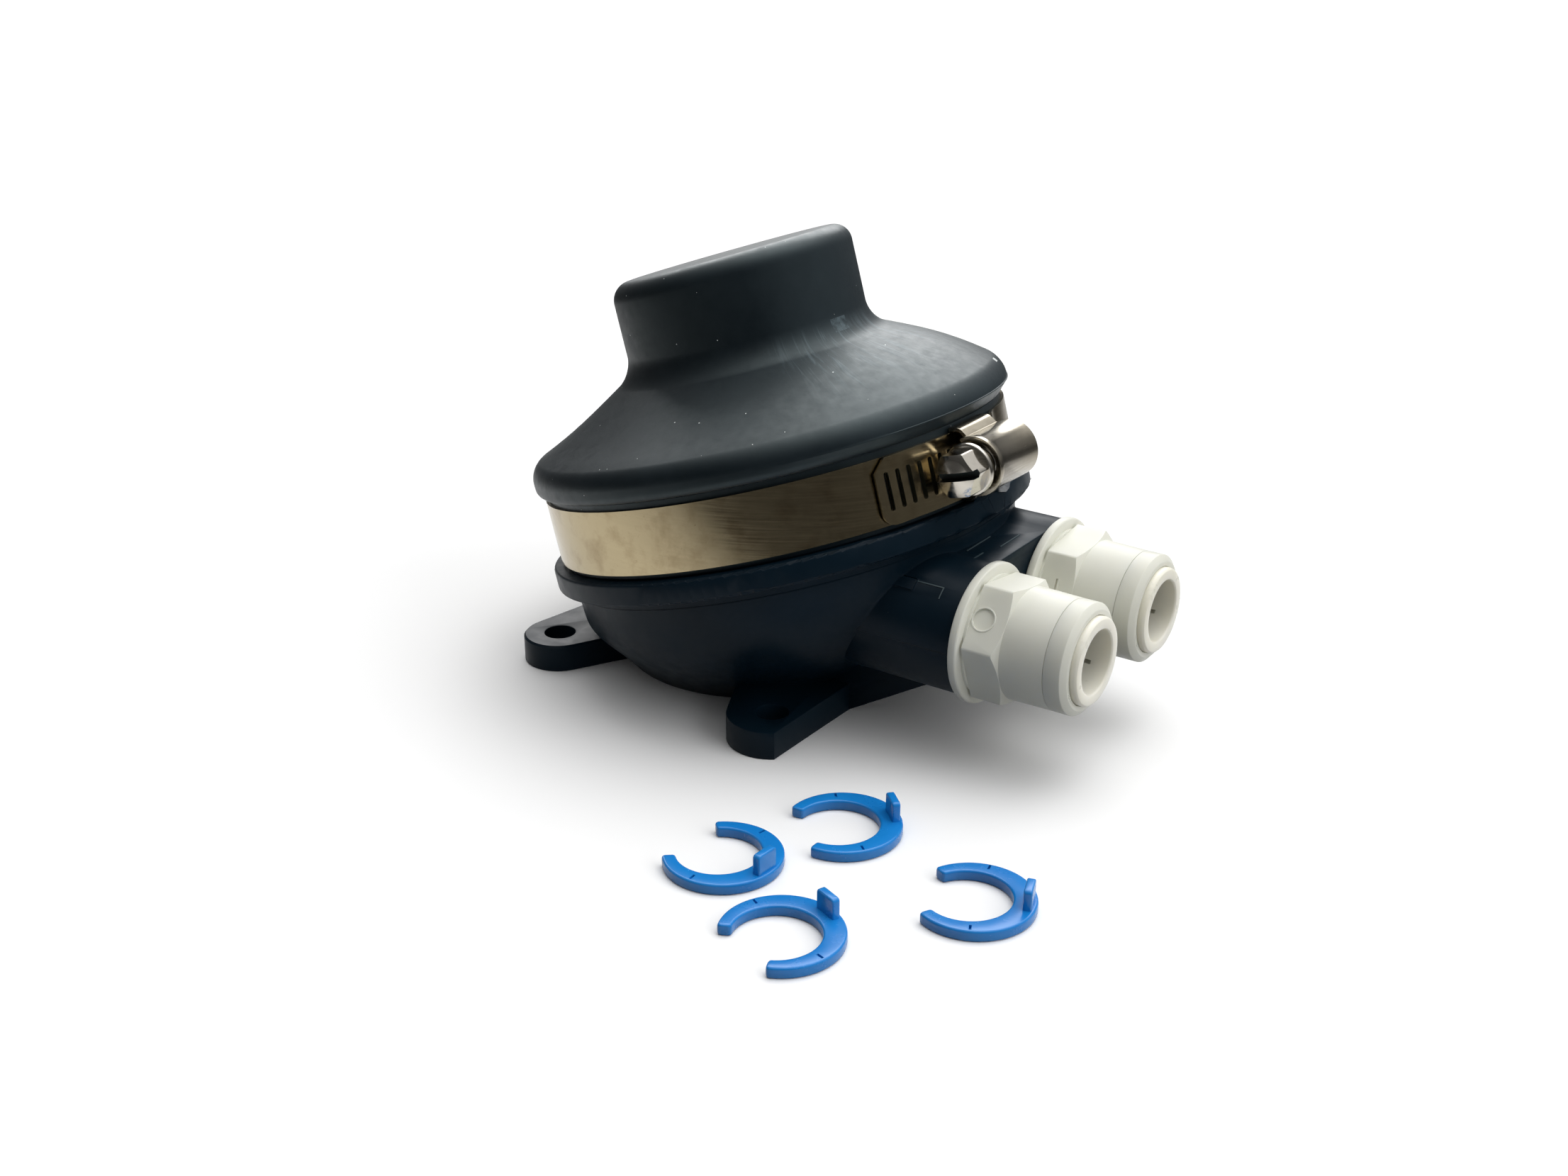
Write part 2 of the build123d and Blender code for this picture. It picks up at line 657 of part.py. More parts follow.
for port, side in port_sides.items():
    port_origin = (0, side * port_y, port_height)
    port_axis = Axis(port_origin, (1, 0, 0))
    port_section = Plane(origin=port_origin, x_dir=(1, 0, 0), z_dir=(0, -1, 0))
    hex_turn = 180 - hex_corner_angle if port == "inlet" else 180 - hex_corner_angle - hex_turn_between

    # Valve cage: a short tube with a plate across it, drilled for the water and the valve's stem
    with BuildPart() as valve_cage:
        with BuildSketch(port_section):
            with BuildLine():
                Polyline(
                    (cage_start + fit_gap, cage_radius - cage_rim_wall),
                    (cage_start + fit_gap, cage_radius),
                    (cage_end, cage_radius),
                    (cage_end, cage_radius - cage_rim_wall),
                    (plate_end, cage_radius - cage_rim_wall),
                    (plate_end, valve_stem_radius + slide_gap),
                    (plate_start, valve_stem_radius + slide_gap),
                    (plate_start, cage_radius - cage_rim_wall),
                    close=True,
                )
            make_face()
        revolve(axis=port_axis)
        with BuildSketch(Plane.YZ.offset(plate_start)):
            with Locations((side * port_y, port_height)):
                with PolarLocations(valve_hole_circle, valve_hole_count):
                    Circle(valve_hole_radius)
        extrude(amount=cage_plate_thickness, mode=Mode.SUBTRACT)
    finish(valve_cage, f"{port}_valve_cage")

    # Valve: a rubber disc over the holes, on a stem that a bulb keeps in the plate
    disc_side = -1 if port == "inlet" else 1
    disc_face = plate_start - slide_gap if port == "inlet" else plate_end + slide_gap
    stem_length = slide_gap + cage_plate_thickness + valve_lift + slide_gap
    with BuildPart() as valve:
        with BuildSketch(port_section):
            with BuildLine():
                Polyline(
                    (disc_face + disc_side * valve_disc_thickness, 0),
                    (disc_face + disc_side * valve_disc_thickness, valve_disc_radius - valve_disc_thickness / 2),
                    (disc_face, valve_disc_radius),
                    (disc_face, valve_stem_radius),
                    (disc_face - disc_side * stem_length, valve_stem_radius),
                    (disc_face - disc_side * stem_length, valve_bulb_radius),
                    (disc_face - disc_side * (stem_length + valve_bulb_length), valve_stem_radius),
                    (disc_face - disc_side * (stem_length + valve_bulb_length), 0),
                    close=True,
                )
            make_face()
        revolve(axis=port_axis)
    finish(valve, f"{port}_valve")

    # Face seal round the adaptor's shank, in the recess at the mouth of the port
    with BuildPart() as face_seal:
        with BuildSketch(port_section):
            with Locations((port_face_x - seal_recess_depth / 2, (thread_radius + seal_recess_radius) / 2)):
                RectangleRounded(
                    seal_recess_depth - fit_gap,
                    seal_recess_radius - thread_radius - 2 * fit_gap,
                    (seal_recess_radius - thread_radius) / 3,
                )
        revolve(axis=port_axis)
    finish(face_seal, f"{port}_face_seal")

    # Adaptor: shank in the port, flange, hexagon and the body that holds the push-fit cassette
    shank_radius = thread_radius - shank_gap
    shank_start = cage_end + fit_gap
    with BuildPart() as adaptor:
        with BuildSketch(port_section):
            with BuildLine():
                Polyline(
                    (shank_start, shank_pocket_radius),
                    (shank_start, shank_radius),
                    (flange_back - shank_relief_length, shank_radius),
                    (flange_back - shank_relief_length, shank_radius - shank_relief_depth),
                    (flange_back, shank_radius - shank_relief_depth),
                    (flange_back, adaptor_flange_radius),
                    (flange_back + adaptor_flange_thickness, adaptor_flange_radius),
                    (flange_back + adaptor_flange_thickness, hex_groove_radius),
                    (hex_back, hex_groove_radius),
                    (body_start, body_radius),
                    (cap_start - fit_gap, body_radius - body_taper),
                    (cap_start - fit_gap, cassette_radius),
                    (cassette_start, cassette_radius),
                    (cassette_start, tube_bore_radius),
                    (tube_stop_x, tube_bore_radius),
                    (tube_stop_x, water_way_radius),
                    (shank_start + shank_pocket_depth, water_way_radius),
                    (shank_start + shank_pocket_depth, shank_pocket_radius),
                    close=True,
                )
            make_face()
        revolve(axis=port_axis)
        rim_edges = adaptor.edges().filter_by(GeomType.CIRCLE)
        rim_edges = rim_edges.filter_by(lambda edge: abs(edge.radius - adaptor_flange_radius) < fit_gap)
        fillet(rim_edges, adaptor_flange_round)
        with BuildSketch(Plane.YZ.offset(hex_back)):
            with Locations((side * port_y, port_height)):
                RegularPolygon(hex_corner_radius, 6, rotation=hex_turn)
                Circle(water_way_radius + cap_chamfer, mode=Mode.SUBTRACT)
        extrude(amount=hex_length)
        # Round ejector mark on one flat
        flat_turn = radians(180 - hex_turn + 180 / 6)
        flat_direction = Vector(0, -cos(flat_turn), sin(flat_turn))
        flat_distance = hex_corner_radius * sqrt(3) / 2
        flat_middle = Vector(hex_back + hex_length / 2, side * port_y, port_height) + flat_direction * flat_distance
        with BuildSketch(Plane(origin=flat_middle, x_dir=(1, 0, 0), z_dir=flat_direction)):
            Circle(ejector_radius)
        extrude(amount=-ejector_depth, mode=Mode.SUBTRACT)
    finish(adaptor, f"{port}_adaptor")

    # End cap that closes the cassette and guides the collet
    cap_radius = body_radius - body_taper
    with BuildPart() as end_cap:
        with BuildSketch(port_section):
            with BuildLine():
                Polyline(
                    (cap_start, lip_bore_radius),
                    (cap_start, cap_radius),
                    (cap_end - cap_chamfer_length, cap_radius),
                    (cap_end, cap_radius - cap_chamfer),
                    (cap_end, collet_head_radius + slide_gap),
                    (cap_start + cap_lip_length, collet_head_radius + slide_gap),
                    (cap_start + cap_lip_length, lip_bore_radius),
                    close=True,
                )
            make_face()
        revolve(axis=port_axis)
    finish(end_cap, f"{port}_end_cap")

    # Tube seal, spacer and toothed grip ring in the cassette
    with BuildPart() as tube_seal:
        with BuildSketch(port_section):
            with Locations((tube_seal_x, cassette_radius - seal_section_radius)):
                Circle(seal_section_radius - fit_gap)
        revolve(axis=port_axis)
    finish(tube_seal, f"{port}_tube_seal")

    with BuildPart() as spacer:
        with BuildSketch(Plane.YZ.offset(spacer_start)):
            with Locations((side * port_y, port_height)):
                Circle(cassette_radius - fit_gap)
                Circle(tube_bore_radius, mode=Mode.SUBTRACT)
        extrude(amount=spacer_length)
    finish(spacer, f"{port}_spacer_ring")

    with BuildPart() as grip_ring:
        with BuildSketch(Plane.YZ.offset(grip_start)):
            with Locations((side * port_y, port_height)):
                Circle(cassette_radius - fit_gap)
                Circle(tube_radius - grip_tooth_reach, mode=Mode.SUBTRACT)
                with PolarLocations(tube_radius, grip_slot_count):
                    Rectangle(collet_barb_reach * 2, grip_slot_width, mode=Mode.SUBTRACT)
        extrude(amount=grip_length)
    finish(grip_ring, f"{port}_grip_ring")

    # Collet: sprung sleeve with a barbed inner end and a rounded head that the thumb pushes
    with BuildPart() as collet:
        with BuildSketch(port_section):
            with BuildLine():
                Polyline(
                    (barb_start, tube_bore_radius),
                    (barb_start, collet_radius),
                    (barb_end, collet_radius + collet_barb_reach),
                    (barb_end, collet_radius),
                    (collet_head_start, collet_radius),
                    (collet_head_start, collet_head_radius),
                    (collet_end, collet_head_radius),
                    (collet_end, tube_bore_radius),
                    close=True,
                )
            make_face()
        revolve(axis=port_axis)
        head_edges = collet.edges().filter_by(GeomType.CIRCLE).group_by(Axis.X)[-1]
        fillet(head_edges, collet_head_round)
        with BuildSketch(Plane.YZ.offset(barb_start)):
            with Locations((side * port_y, port_height)):
                with PolarLocations(collet_radius, collet_slot_count):
                    Rectangle(4 * collet_barb_reach, collet_slot_width)
        extrude(amount=cap_start + cap_lip_length - barb_start, mode=Mode.SUBTRACT)
    finish(collet, f"{port}_collet")

# Loose locking clips: an open ring, thicker beside its upright thumb tab
for label, (clip_x, clip_y, tab_angle) in lock_places.items():
    clip_turn = radians(tab_angle)
    clip_plane = Plane(origin=(clip_x, clip_y, 0), x_dir=(cos(clip_turn), sin(clip_turn), 0), z_dir=(0, 0, 1))
    mouth = radians(lock_mouth_half_angle)
    reach = 2 * lock_outer_radius
    with BuildPart() as locking_clip:
        with BuildSketch(clip_plane) as ring:
            Circle(lock_outer_radius)
            with Locations((-lock_inner_shift, 0)):
                Circle(lock_inner_radius, mode=Mode.SUBTRACT)
            with BuildLine():
                Polyline(
                    (0, 0),
                    (-reach * cos(mouth), reach * sin(mouth)),
                    (-reach * cos(mouth), -reach * sin(mouth)),
                    close=True,
                )
            make_face(mode=Mode.SUBTRACT)
            fillet(ring.vertices(), lock_tip_round)
        extrude(amount=lock_thickness)
        chamfer(locking_clip.faces().sort_by(Axis.Z)[-1].edges(), lock_edge_round)
        with BuildSketch(clip_plane):
            with Locations((lock_outer_radius - tab_thickness, 0)):
                RectangleRounded(tab_thickness, tab_width, tab_thickness / 3)
        extrude(amount=lock_thickness + tab_height)
        fillet(locking_clip.faces().sort_by(Axis.Z)[-1].edges(), tab_thickness / 5)
    finish(locking_clip, label)
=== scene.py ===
"""The looks of a foot-worked diaphragm pump for a caravan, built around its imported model.

Every sub-assembly is a class. Its meshes are made in millimetres, in a frame of its own whose Z runs
along its main axis, and are then placed in the row frame in metres.
"""

import functools
import logging
import math
from dataclasses import dataclass
from enum import Enum
from typing import Any, Mapping, Sequence

import bmesh
import bpy
from bmesh.types import BMEdge, BMesh, BMVert
from bpy.types import Material, Node, NodeSocket, NodeTree, Object
from mathutils import Matrix, Vector


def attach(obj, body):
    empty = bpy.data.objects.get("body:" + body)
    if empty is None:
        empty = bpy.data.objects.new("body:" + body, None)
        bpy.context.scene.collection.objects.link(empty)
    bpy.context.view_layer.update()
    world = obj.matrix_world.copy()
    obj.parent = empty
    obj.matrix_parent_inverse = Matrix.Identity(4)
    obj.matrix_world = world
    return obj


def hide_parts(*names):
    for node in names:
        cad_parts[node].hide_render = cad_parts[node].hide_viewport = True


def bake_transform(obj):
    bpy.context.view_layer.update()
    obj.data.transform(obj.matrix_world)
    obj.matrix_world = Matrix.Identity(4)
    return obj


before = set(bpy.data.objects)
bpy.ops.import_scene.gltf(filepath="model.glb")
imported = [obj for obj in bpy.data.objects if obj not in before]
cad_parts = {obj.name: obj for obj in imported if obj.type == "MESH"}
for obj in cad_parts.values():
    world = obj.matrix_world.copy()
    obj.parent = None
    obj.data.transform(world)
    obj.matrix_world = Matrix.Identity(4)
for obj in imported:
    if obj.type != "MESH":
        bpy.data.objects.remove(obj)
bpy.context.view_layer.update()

log = logging.getLogger("pump")

Point = tuple[float, float]
Place = tuple[float, float, float]
Links = Mapping[int | str, NodeSocket]

FULL_TURN = math.tau
MERGE_DISTANCE = 0.0005
# The ports lie this far to each side of the middle and over the floor, in millimetres
PORT_SPACING = 14.0
PORT_HEIGHT = 24.46
# Centre and turn of each loose clip on the floor, in millimetres and degrees
CLIP_PLACES = ((60.0, -55.7, 48.0), (48.8, -76.2, -3.0), (70.7, -89.8, 69.0), (90.9, -63.3, 20.0))


class Body(str, Enum):
    """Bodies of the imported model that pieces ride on."""

    BASE = "base"
    CROWN = "crown"
    SCREW = "clip_screw"
    INLET_COLLET = "inlet_collet"
    OUTLET_COLLET = "outlet_collet"


class Side(int, Enum):
    """The two ports, by the side of the row frame's XZ plane on which they lie."""

    INLET = -1
    OUTLET = 1


class Slot(str, Enum):
    """Material slots of the record."""

    BASE = "base_plastic"
    RUBBER = "diaphragm_rubber"
    INSERT = "insert_plastic"
    SPRING = "spring_steel"
    BAND = "band_steel"
    SCREW = "screw_steel"
    CAGE = "cage_plastic"
    VALVE = "valve_rubber"
    SEAL = "seal_rubber"
    ADAPTOR = "adaptor_plastic"
    GRIP = "grip_steel"
    COLLET = "collet_plastic"
    CLIP = "clip_plastic"


class Cut(str, Enum):
    """Ways in which two closed meshes are put together."""

    JOIN = "UNION"
    REMOVE = "DIFFERENCE"
    KEEP_COMMON = "INTERSECT"


def mm(value: float) -> float:
    """Millimetres to metres."""
    return value / 1000


def per_mm(size: float) -> float:
    """Texture scale at which a pattern on Object coordinates repeats every size millimetres."""
    return 1000 / size


def linear(hex_colour: str) -> tuple[float, float, float, float]:
    """Turn an sRGB hex colour into a linear one.

    Args:
        hex_colour: Six hex digits after a hash sign.

    Returns:
        Linear red, green, blue and a full alpha.
    """
    channels = [int(hex_colour[start:start + 2], 16) / 255 for start in (1, 3, 5)]
    red, green, blue = (c / 12.92 if c <= 0.04045 else ((c + 0.055) / 1.055) ** 2.4 for c in channels)
    return red, green, blue, 1.0


def add_node(tree: NodeTree, kind: str, settings: Mapping[int | str, Any] | None = None,
             links: Links | None = None) -> Node:
    """Add a shader node.

    Args:
        tree: Node tree that gets the node.
        kind: Type of the node.
        settings: Properties and unlinked inputs by name or index, and a colour ramp's stops.
        links: Output sockets that feed the node's inputs, by the input's name or index.

    Returns:
        The new node.
    """
    node = tree.nodes.new(kind)
    for key, value in (settings or {}).items():
        if key == "stops":
            elements = node.color_ramp.elements
            for index, (position, colour) in enumerate(value):
                element = elements[index] if index < 2 else elements.new(position)
                element.position, element.color = position, colour
        elif isinstance(key, int) or key in node.inputs:
            node.inputs[key].default_value = value
        else:
            setattr(node, key, value)
    for key, socket in (links or {}).items():
        tree.links.new(socket, node.inputs[key])
    return node


def grey(level: float) -> tuple[float, float, float, float]:
    """A neutral ramp colour of a linear level."""
    return level, level, level, 1.0


@dataclass(frozen=True)
class ClampSeat:
    """Plane of the hose clip's lower edge, tilted back from the ports."""

    tilt: float = 16.0
    forward: float = 8.75
    height: float = 34.16

    def place(self, turn: float = 0.0) -> Matrix:
        """Frame on the seat whose Z is the clamp's axis and whose X points out at an angle in degrees."""
        origin = Matrix.Translation((self.forward, 0, self.height))
        tilted = origin @ Matrix.Rotation(-math.radians(self.tilt), 4, "Y")
        return tilted @ Matrix.Rotation(math.radians(turn), 4, "Z")

    def above(self, height: float) -> Vector:
        """Point on the clamp's axis, in metres."""
        return self.place() @ Vector((0, 0, height)) * mm(1)


SEAT = ClampSeat()


@dataclass(frozen=True)
class MouldedPlastic:
    """A thermoplastic out of an injection mould: even colour, soft gloss and very fine spark-eroded grain."""

    common_name: str
    made: str
    colour: str
    tint: str
    roughness: tuple[float, float]
    grain: float = 0.35
    grain_depth: float = 0.004
    specks: str | None = None
    subsurface: float = 0.0
    gloss: float = 0.5

    def build(self) -> Material:
        """Make the node material.

        Returns:
            The material.
        """
        material, tree, shader, place = start_material(f"{self.common_name}, {self.made}")
        # Slow drift of the colour over some 20 mm, as pigment flows in the mould
        drift = add_node(tree, "ShaderNodeTexNoise", {"Scale": per_mm(20), "Detail": 3.0}, {"Vector": place})
        stops = ((0.35, linear(self.colour)), (0.7, linear(self.tint)))
        blend = add_node(tree, "ShaderNodeValToRGB", {"stops": stops}, {"Fac": drift.outputs["Fac"]})
        colour = blend.outputs["Color"]
        if self.specks:
            mask = dust(tree, place, 5.0, 0.3)
            speckled = add_node(tree, "ShaderNodeMix", {"data_type": "RGBA", 7: linear(self.specks)},
                                {0: mask, 6: colour})
            colour = speckled.outputs[2]
        # Handling marks change the gloss over some 4 mm
        smear = add_node(tree, "ShaderNodeTexNoise", {"Scale": per_mm(4), "Detail": 4.0, "Roughness": 0.6},
                         {"Vector": place})
        grain = add_node(tree, "ShaderNodeTexNoise", {"Scale": per_mm(self.grain), "Detail": 2.0},
                         {"Vector": place})
        join_patterns(tree, shader, colour, smear.outputs["Fac"], self.roughness, grain.outputs["Fac"],
                      self.grain_depth)
        shader.inputs["IOR"].default_value = 1.48
        shader.inputs["Specular IOR Level"].default_value = self.gloss
        if self.subsurface:
            shader.inputs["Subsurface Weight"].default_value = self.subsurface
            shader.inputs["Subsurface Radius"].default_value = (1.0, 0.9, 0.75)
            shader.inputs["Subsurface Scale"].default_value = mm(3.0)
        return material


@dataclass(frozen=True)
class WornSpot:
    """A worn place on the rubber, by its angle round the clamp's axis and its height over the seat."""

    turn: float
    half_turn: float
    level: float
    half_level: float

    def mask(self, tree: NodeTree, turn: NodeSocket, level: NodeSocket) -> NodeSocket:
        """Draw the spot.

        Args:
            tree: Node tree that gets the nodes.
            turn: Angle of a point round the clamp's axis.
            level: Height of a point over the seat.

        Returns:
            A mask that is 1 on the spot.
        """
        across = add_node(tree, "ShaderNodeMath", {"operation": "COMPARE", 1: math.radians(self.turn),
                                                   2: math.radians(self.half_turn)}, {0: turn})
        along = add_node(tree, "ShaderNodeMath", {"operation": "COMPARE", 1: mm(self.level),
                                                  2: mm(self.half_level)}, {0: level})
        both = add_node(tree, "ShaderNodeMath", {"operation": "MULTIPLY"},
                        {0: across.outputs[0], 1: along.outputs[0]})
        return both.outputs[0]


@dataclass(frozen=True)
class MouldedRubber:
    """Rubber out of a compression mould: satin, with pale bloom, dust, scuffs where feet tread, and a pale
    film on the tread side that is partly painted sheen.
    """

    common_name: str
    made: str
    colour: str
    bloom: str
    dust_colour: str
    roughness: tuple[float, float]
    trodden: bool = False
    scuffed_turn: float = 2.0
    rubbed_foot: WornSpot = WornSpot(-6.0, 5.0, 35.3, 1.3)
    chipped_rim: WornSpot = WornSpot(26.0, 1.1, 20.5, 0.4)

    def scuffs(self, tree: NodeTree, local: NodeSocket, turn: NodeSocket,
               level: NodeSocket) -> tuple[NodeSocket, NodeSocket]:
        """Draw the scuffs of a tread side, in fans that run out from the crown.

        Args:
            tree: Node tree that gets the nodes.
            local: Coordinates on the clamp seat.
            turn: Angle of a point round the clamp's axis.
            level: Height of a point over the seat.

        Returns:
            Masks of the side's pale film, which is partly painted sheen, and of its scuffs.
        """
        # A thin pale film lies on the tread side, which faces the lamps: partly bloom and partly painted
        # sheen
        flat = add_node(tree, "ShaderNodeVectorMath", {"operation": "MULTIPLY", 1: (1, 1, 0)}, {0: local})
        length = add_node(tree, "ShaderNodeVectorMath", {"operation": "LENGTH"}, {0: flat.outputs[0]})
        reach = length.outputs["Value"]
        facing = add_node(tree, "ShaderNodeVectorMath", {"operation": "NORMALIZE"}, {0: flat.outputs[0]})
        middle = math.radians(self.scuffed_turn)
        nearness = add_node(tree, "ShaderNodeVectorMath",
                            {"operation": "DOT_PRODUCT", 1: (math.cos(middle), math.sin(middle), 0)},
                            {0: facing.outputs[0]})
        side = add_node(tree, "ShaderNodeMapRange",
                        {"interpolation_type": "SMOOTHSTEP", "From Min": 0.6, "From Max": 1.0},
                        {"Value": nearness.outputs["Value"]})
        # The film fades out towards the middle of the crown's top
        begun = add_node(tree, "ShaderNodeMapRange",
                         {"interpolation_type": "SMOOTHSTEP", "From Min": mm(5), "From Max": mm(21)},
                         {"Value": reach})
        side_film_and_sheen = add_node(tree, "ShaderNodeMath", {"operation": "MULTIPLY"},
                          {0: side.outputs["Result"], 1: begun.outputs["Result"]})
        # The scuffs are strongest within 31 mm of the axis and end by 46 mm
        fade = add_node(tree, "ShaderNodeMapRange",
                        {"interpolation_type": "SMOOTHSTEP", "From Min": mm(46), "From Max": mm(31)},
                        {"Value": reach})
        # One scuff is some 1.2 mm wide and 11 mm long
        fan = add_node(tree, "ShaderNodeCombineXYZ", links={0: turn, 1: reach})
        drawn = add_node(tree, "ShaderNodeVectorMath", {"operation": "MULTIPLY", 1: (26.0, per_mm(11), 1.0)},
                         {0: fan.outputs[0]})
        streak = add_node(tree, "ShaderNodeTexNoise",
                          {"Scale": 1.0, "Detail": 6.0, "Roughness": 0.62, "Distortion": 0.9},
                          {"Vector": drawn.outputs[0]})
        sharp = add_node(tree, "ShaderNodeMapRange", {"From Min": 0.5, "From Max": 0.72},
                         {"Value": streak.outputs["Fac"]})
        # They end 3 mm up the crown's wall, whose foot is 33 mm over the seat
        low = add_node(tree, "ShaderNodeMapRange", {"From Min": mm(36.5), "From Max": mm(34)},
                       {"Value": level})
        marks = low.outputs["Result"]
        for part in (fade, side, sharp):
            product = add_node(tree, "ShaderNodeMath", {"operation": "MULTIPLY"},
                               {0: marks, 1: part.outputs["Result"]})
            marks = product.outputs[0]
        return side_film_and_sheen.outputs[0], marks

    def build(self) -> Material:
        """Make the node material.

        Returns:
            The material.
        """
        material, tree, shader, place = start_material(f"{self.common_name}, {self.made}")
        # Bloom is a thin pale film, in clouds of some 25 mm
        cloud = add_node(tree, "ShaderNodeTexNoise", {"Scale": per_mm(25), "Detail": 6.0, "Roughness": 0.6},
                         {"Vector": place})
        film = add_node(tree, "ShaderNodeMapRange", {"From Min": 0.4, "From Max": 0.8, "To Max": 0.1},
                        {"Value": cloud.outputs["Fac"]}).outputs["Result"]
        fine = add_node(tree, "ShaderNodeTexNoise", {"Scale": per_mm(2.5), "Detail": 6.0, "Roughness": 0.7},
                        {"Vector": place}).outputs["Fac"]
        relief = add_node(tree, "ShaderNodeTexNoise", {"Scale": per_mm(0.6), "Detail": 3.0},
                          {"Vector": place}).outputs["Fac"]
        specks = dust(tree, place, 2.0, 0.28)
        if self.trodden:
            tilt = (0, -math.radians(SEAT.tilt), 0)
            local = add_node(tree, "ShaderNodeMapping",
                             {"vector_type": "TEXTURE", "Location": SEAT.above(0.0), "Rotation": tilt},
                             {"Vector": place}).outputs["Vector"]
            parts = add_node(tree, "ShaderNodeSeparateXYZ", links={0: local}).outputs
            turn = add_node(tree, "ShaderNodeMath", {"operation": "ARCTAN2"},
                            {0: parts["Y"], 1: parts["X"]}).outputs[0]
            side, marks = self.scuffs(tree, local, turn, parts["Z"])
            # The crown's foot is rubbed in one place
            rubbed = self.rubbed_foot.mask(tree, turn, parts["Z"])
            broken = add_node(tree, "ShaderNodeMapRange", {"From Min": 0.42, "From Max": 0.62},
                              {"Value": fine})
            marks = add_node(tree, "ShaderNodeMath", {"operation": "MULTIPLY_ADD"},
                             {0: rubbed, 1: broken.outputs["Result"], 2: marks}).outputs[0]
            # The film lies thin on the trodden side, where it is partly painted sheen, and thick in the
            # scuffs, which stand up a little
            for mask, thickness in ((side, 0.14), (marks, 0.75)):
                film = add_node(tree, "ShaderNodeMath",
                                {"operation": "MULTIPLY_ADD", 1: thickness, "use_clamp": True},
                                {0: mask, 2: film}).outputs[0]
            relief = add_node(tree, "ShaderNodeMath", {"operation": "MULTIPLY_ADD", 1: 3.0},
                              {0: marks, 2: relief}).outputs[0]
            # A chip in the rim is as pale as the dust
            chip = self.chipped_rim.mask(tree, turn, parts["Z"])
            specks = add_node(tree, "ShaderNodeMath", {"operation": "MAXIMUM"},
                              {0: specks, 1: chip}).outputs[0]
        base = add_node(tree, "ShaderNodeMix",
                        {"data_type": "RGBA", 6: linear(self.colour), 7: linear(self.bloom)}, {0: film})
        dusty = add_node(tree, "ShaderNodeMix", {"data_type": "RGBA", 7: linear(self.dust_colour)},
                         {0: specks, 6: base.outputs[2]})
        join_patterns(tree, shader, dusty.outputs[2], fine, self.roughness, relief, 0.012)
        shader.inputs["IOR"].default_value = 1.5
        shader.inputs["Specular Tint"].default_value = linear("#E0F2F3")
        return material


@dataclass(frozen=True)
class Steel:
    """Sheet or bar of steel: a clear reflection, broken by fine lines along its rolling and by stains."""

    common_name: str
    made: str
    colour: str
    stain: str
    roughness: tuple[float, float]
    stained: float = 0.5
    line_pitch: float = 0.4
    line_depth: float = 0.0015
    tilt: float = 16.0

    def build(self) -> Material:
        """Make the node material.

        Returns:
            The material.
        """
        material, tree, shader, place = start_material(f"{self.common_name}, {self.made}")
        # Fine lines run along the strip, so the pattern is short only across it
        turned = add_node(tree, "ShaderNodeMapping",
                          {"Rotation": (0, math.radians(self.tilt), 0), "Scale": (0.03, 0.03, 1.0)},
                          {"Vector": place})
        lines = add_node(tree, "ShaderNodeTexNoise", {"Scale": per_mm(self.line_pitch), "Detail": 3.0},
                         {"Vector": turned.outputs["Vector"]}).outputs["Fac"]
        blot = add_node(tree, "ShaderNodeTexNoise", {"Scale": per_mm(6), "Detail": 7.0, "Roughness": 0.65},
                        {"Vector": place})
        blotted = add_node(tree, "ShaderNodeMapRange",
                           {"From Min": 0.48, "From Max": 0.72, "To Max": self.stained},
                           {"Value": blot.outputs["Fac"]})
        # Flecks of dirt are about a millimetre wide
        fleck = add_node(tree, "ShaderNodeTexNoise",
                         {"Scale": per_mm(1.3), "Detail": 5.0, "Roughness": 0.7, "Distortion": 1.5},
                         {"Vector": place})
        dirt = add_node(tree, "ShaderNodeMapRange",
                        {"From Min": 0.62, "From Max": 0.7, "To Max": self.stained},
                        {"Value": fleck.outputs["Fac"]})
        cover = add_node(tree, "ShaderNodeMath", {"operation": "MAXIMUM"},
                         {0: blotted.outputs["Result"], 1: dirt.outputs["Result"]})
        mixed = add_node(tree, "ShaderNodeMix",
                         {"data_type": "RGBA", 6: linear(self.colour), 7: linear(self.stain)},
                         {0: cover.outputs[0]})
        join_patterns(tree, shader, mixed.outputs[2], lines, self.roughness, lines, self.line_depth, 0.4)
        shader.inputs["Metallic"].default_value = 1.0
        return material


Finish = MouldedPlastic | MouldedRubber | Steel


def start_material(name: str) -> tuple[Material, NodeTree, Node, NodeSocket]:
    """Make an empty principled material.

    Args:
        name: What the material is and how it was made.

    Returns:
        The material, its tree, its shader and the Object coordinates.
    """
    material = bpy.data.materials.new(name)
    material.use_nodes = True
    tree = material.node_tree
    tree.nodes.clear()
    shader = add_node(tree, "ShaderNodeBsdfPrincipled")
    add_node(tree, "ShaderNodeOutputMaterial", links={"Surface": shader.outputs["BSDF"]})
    place = add_node(tree, "ShaderNodeTexCoord").outputs["Object"]
    return material, tree, shader, place


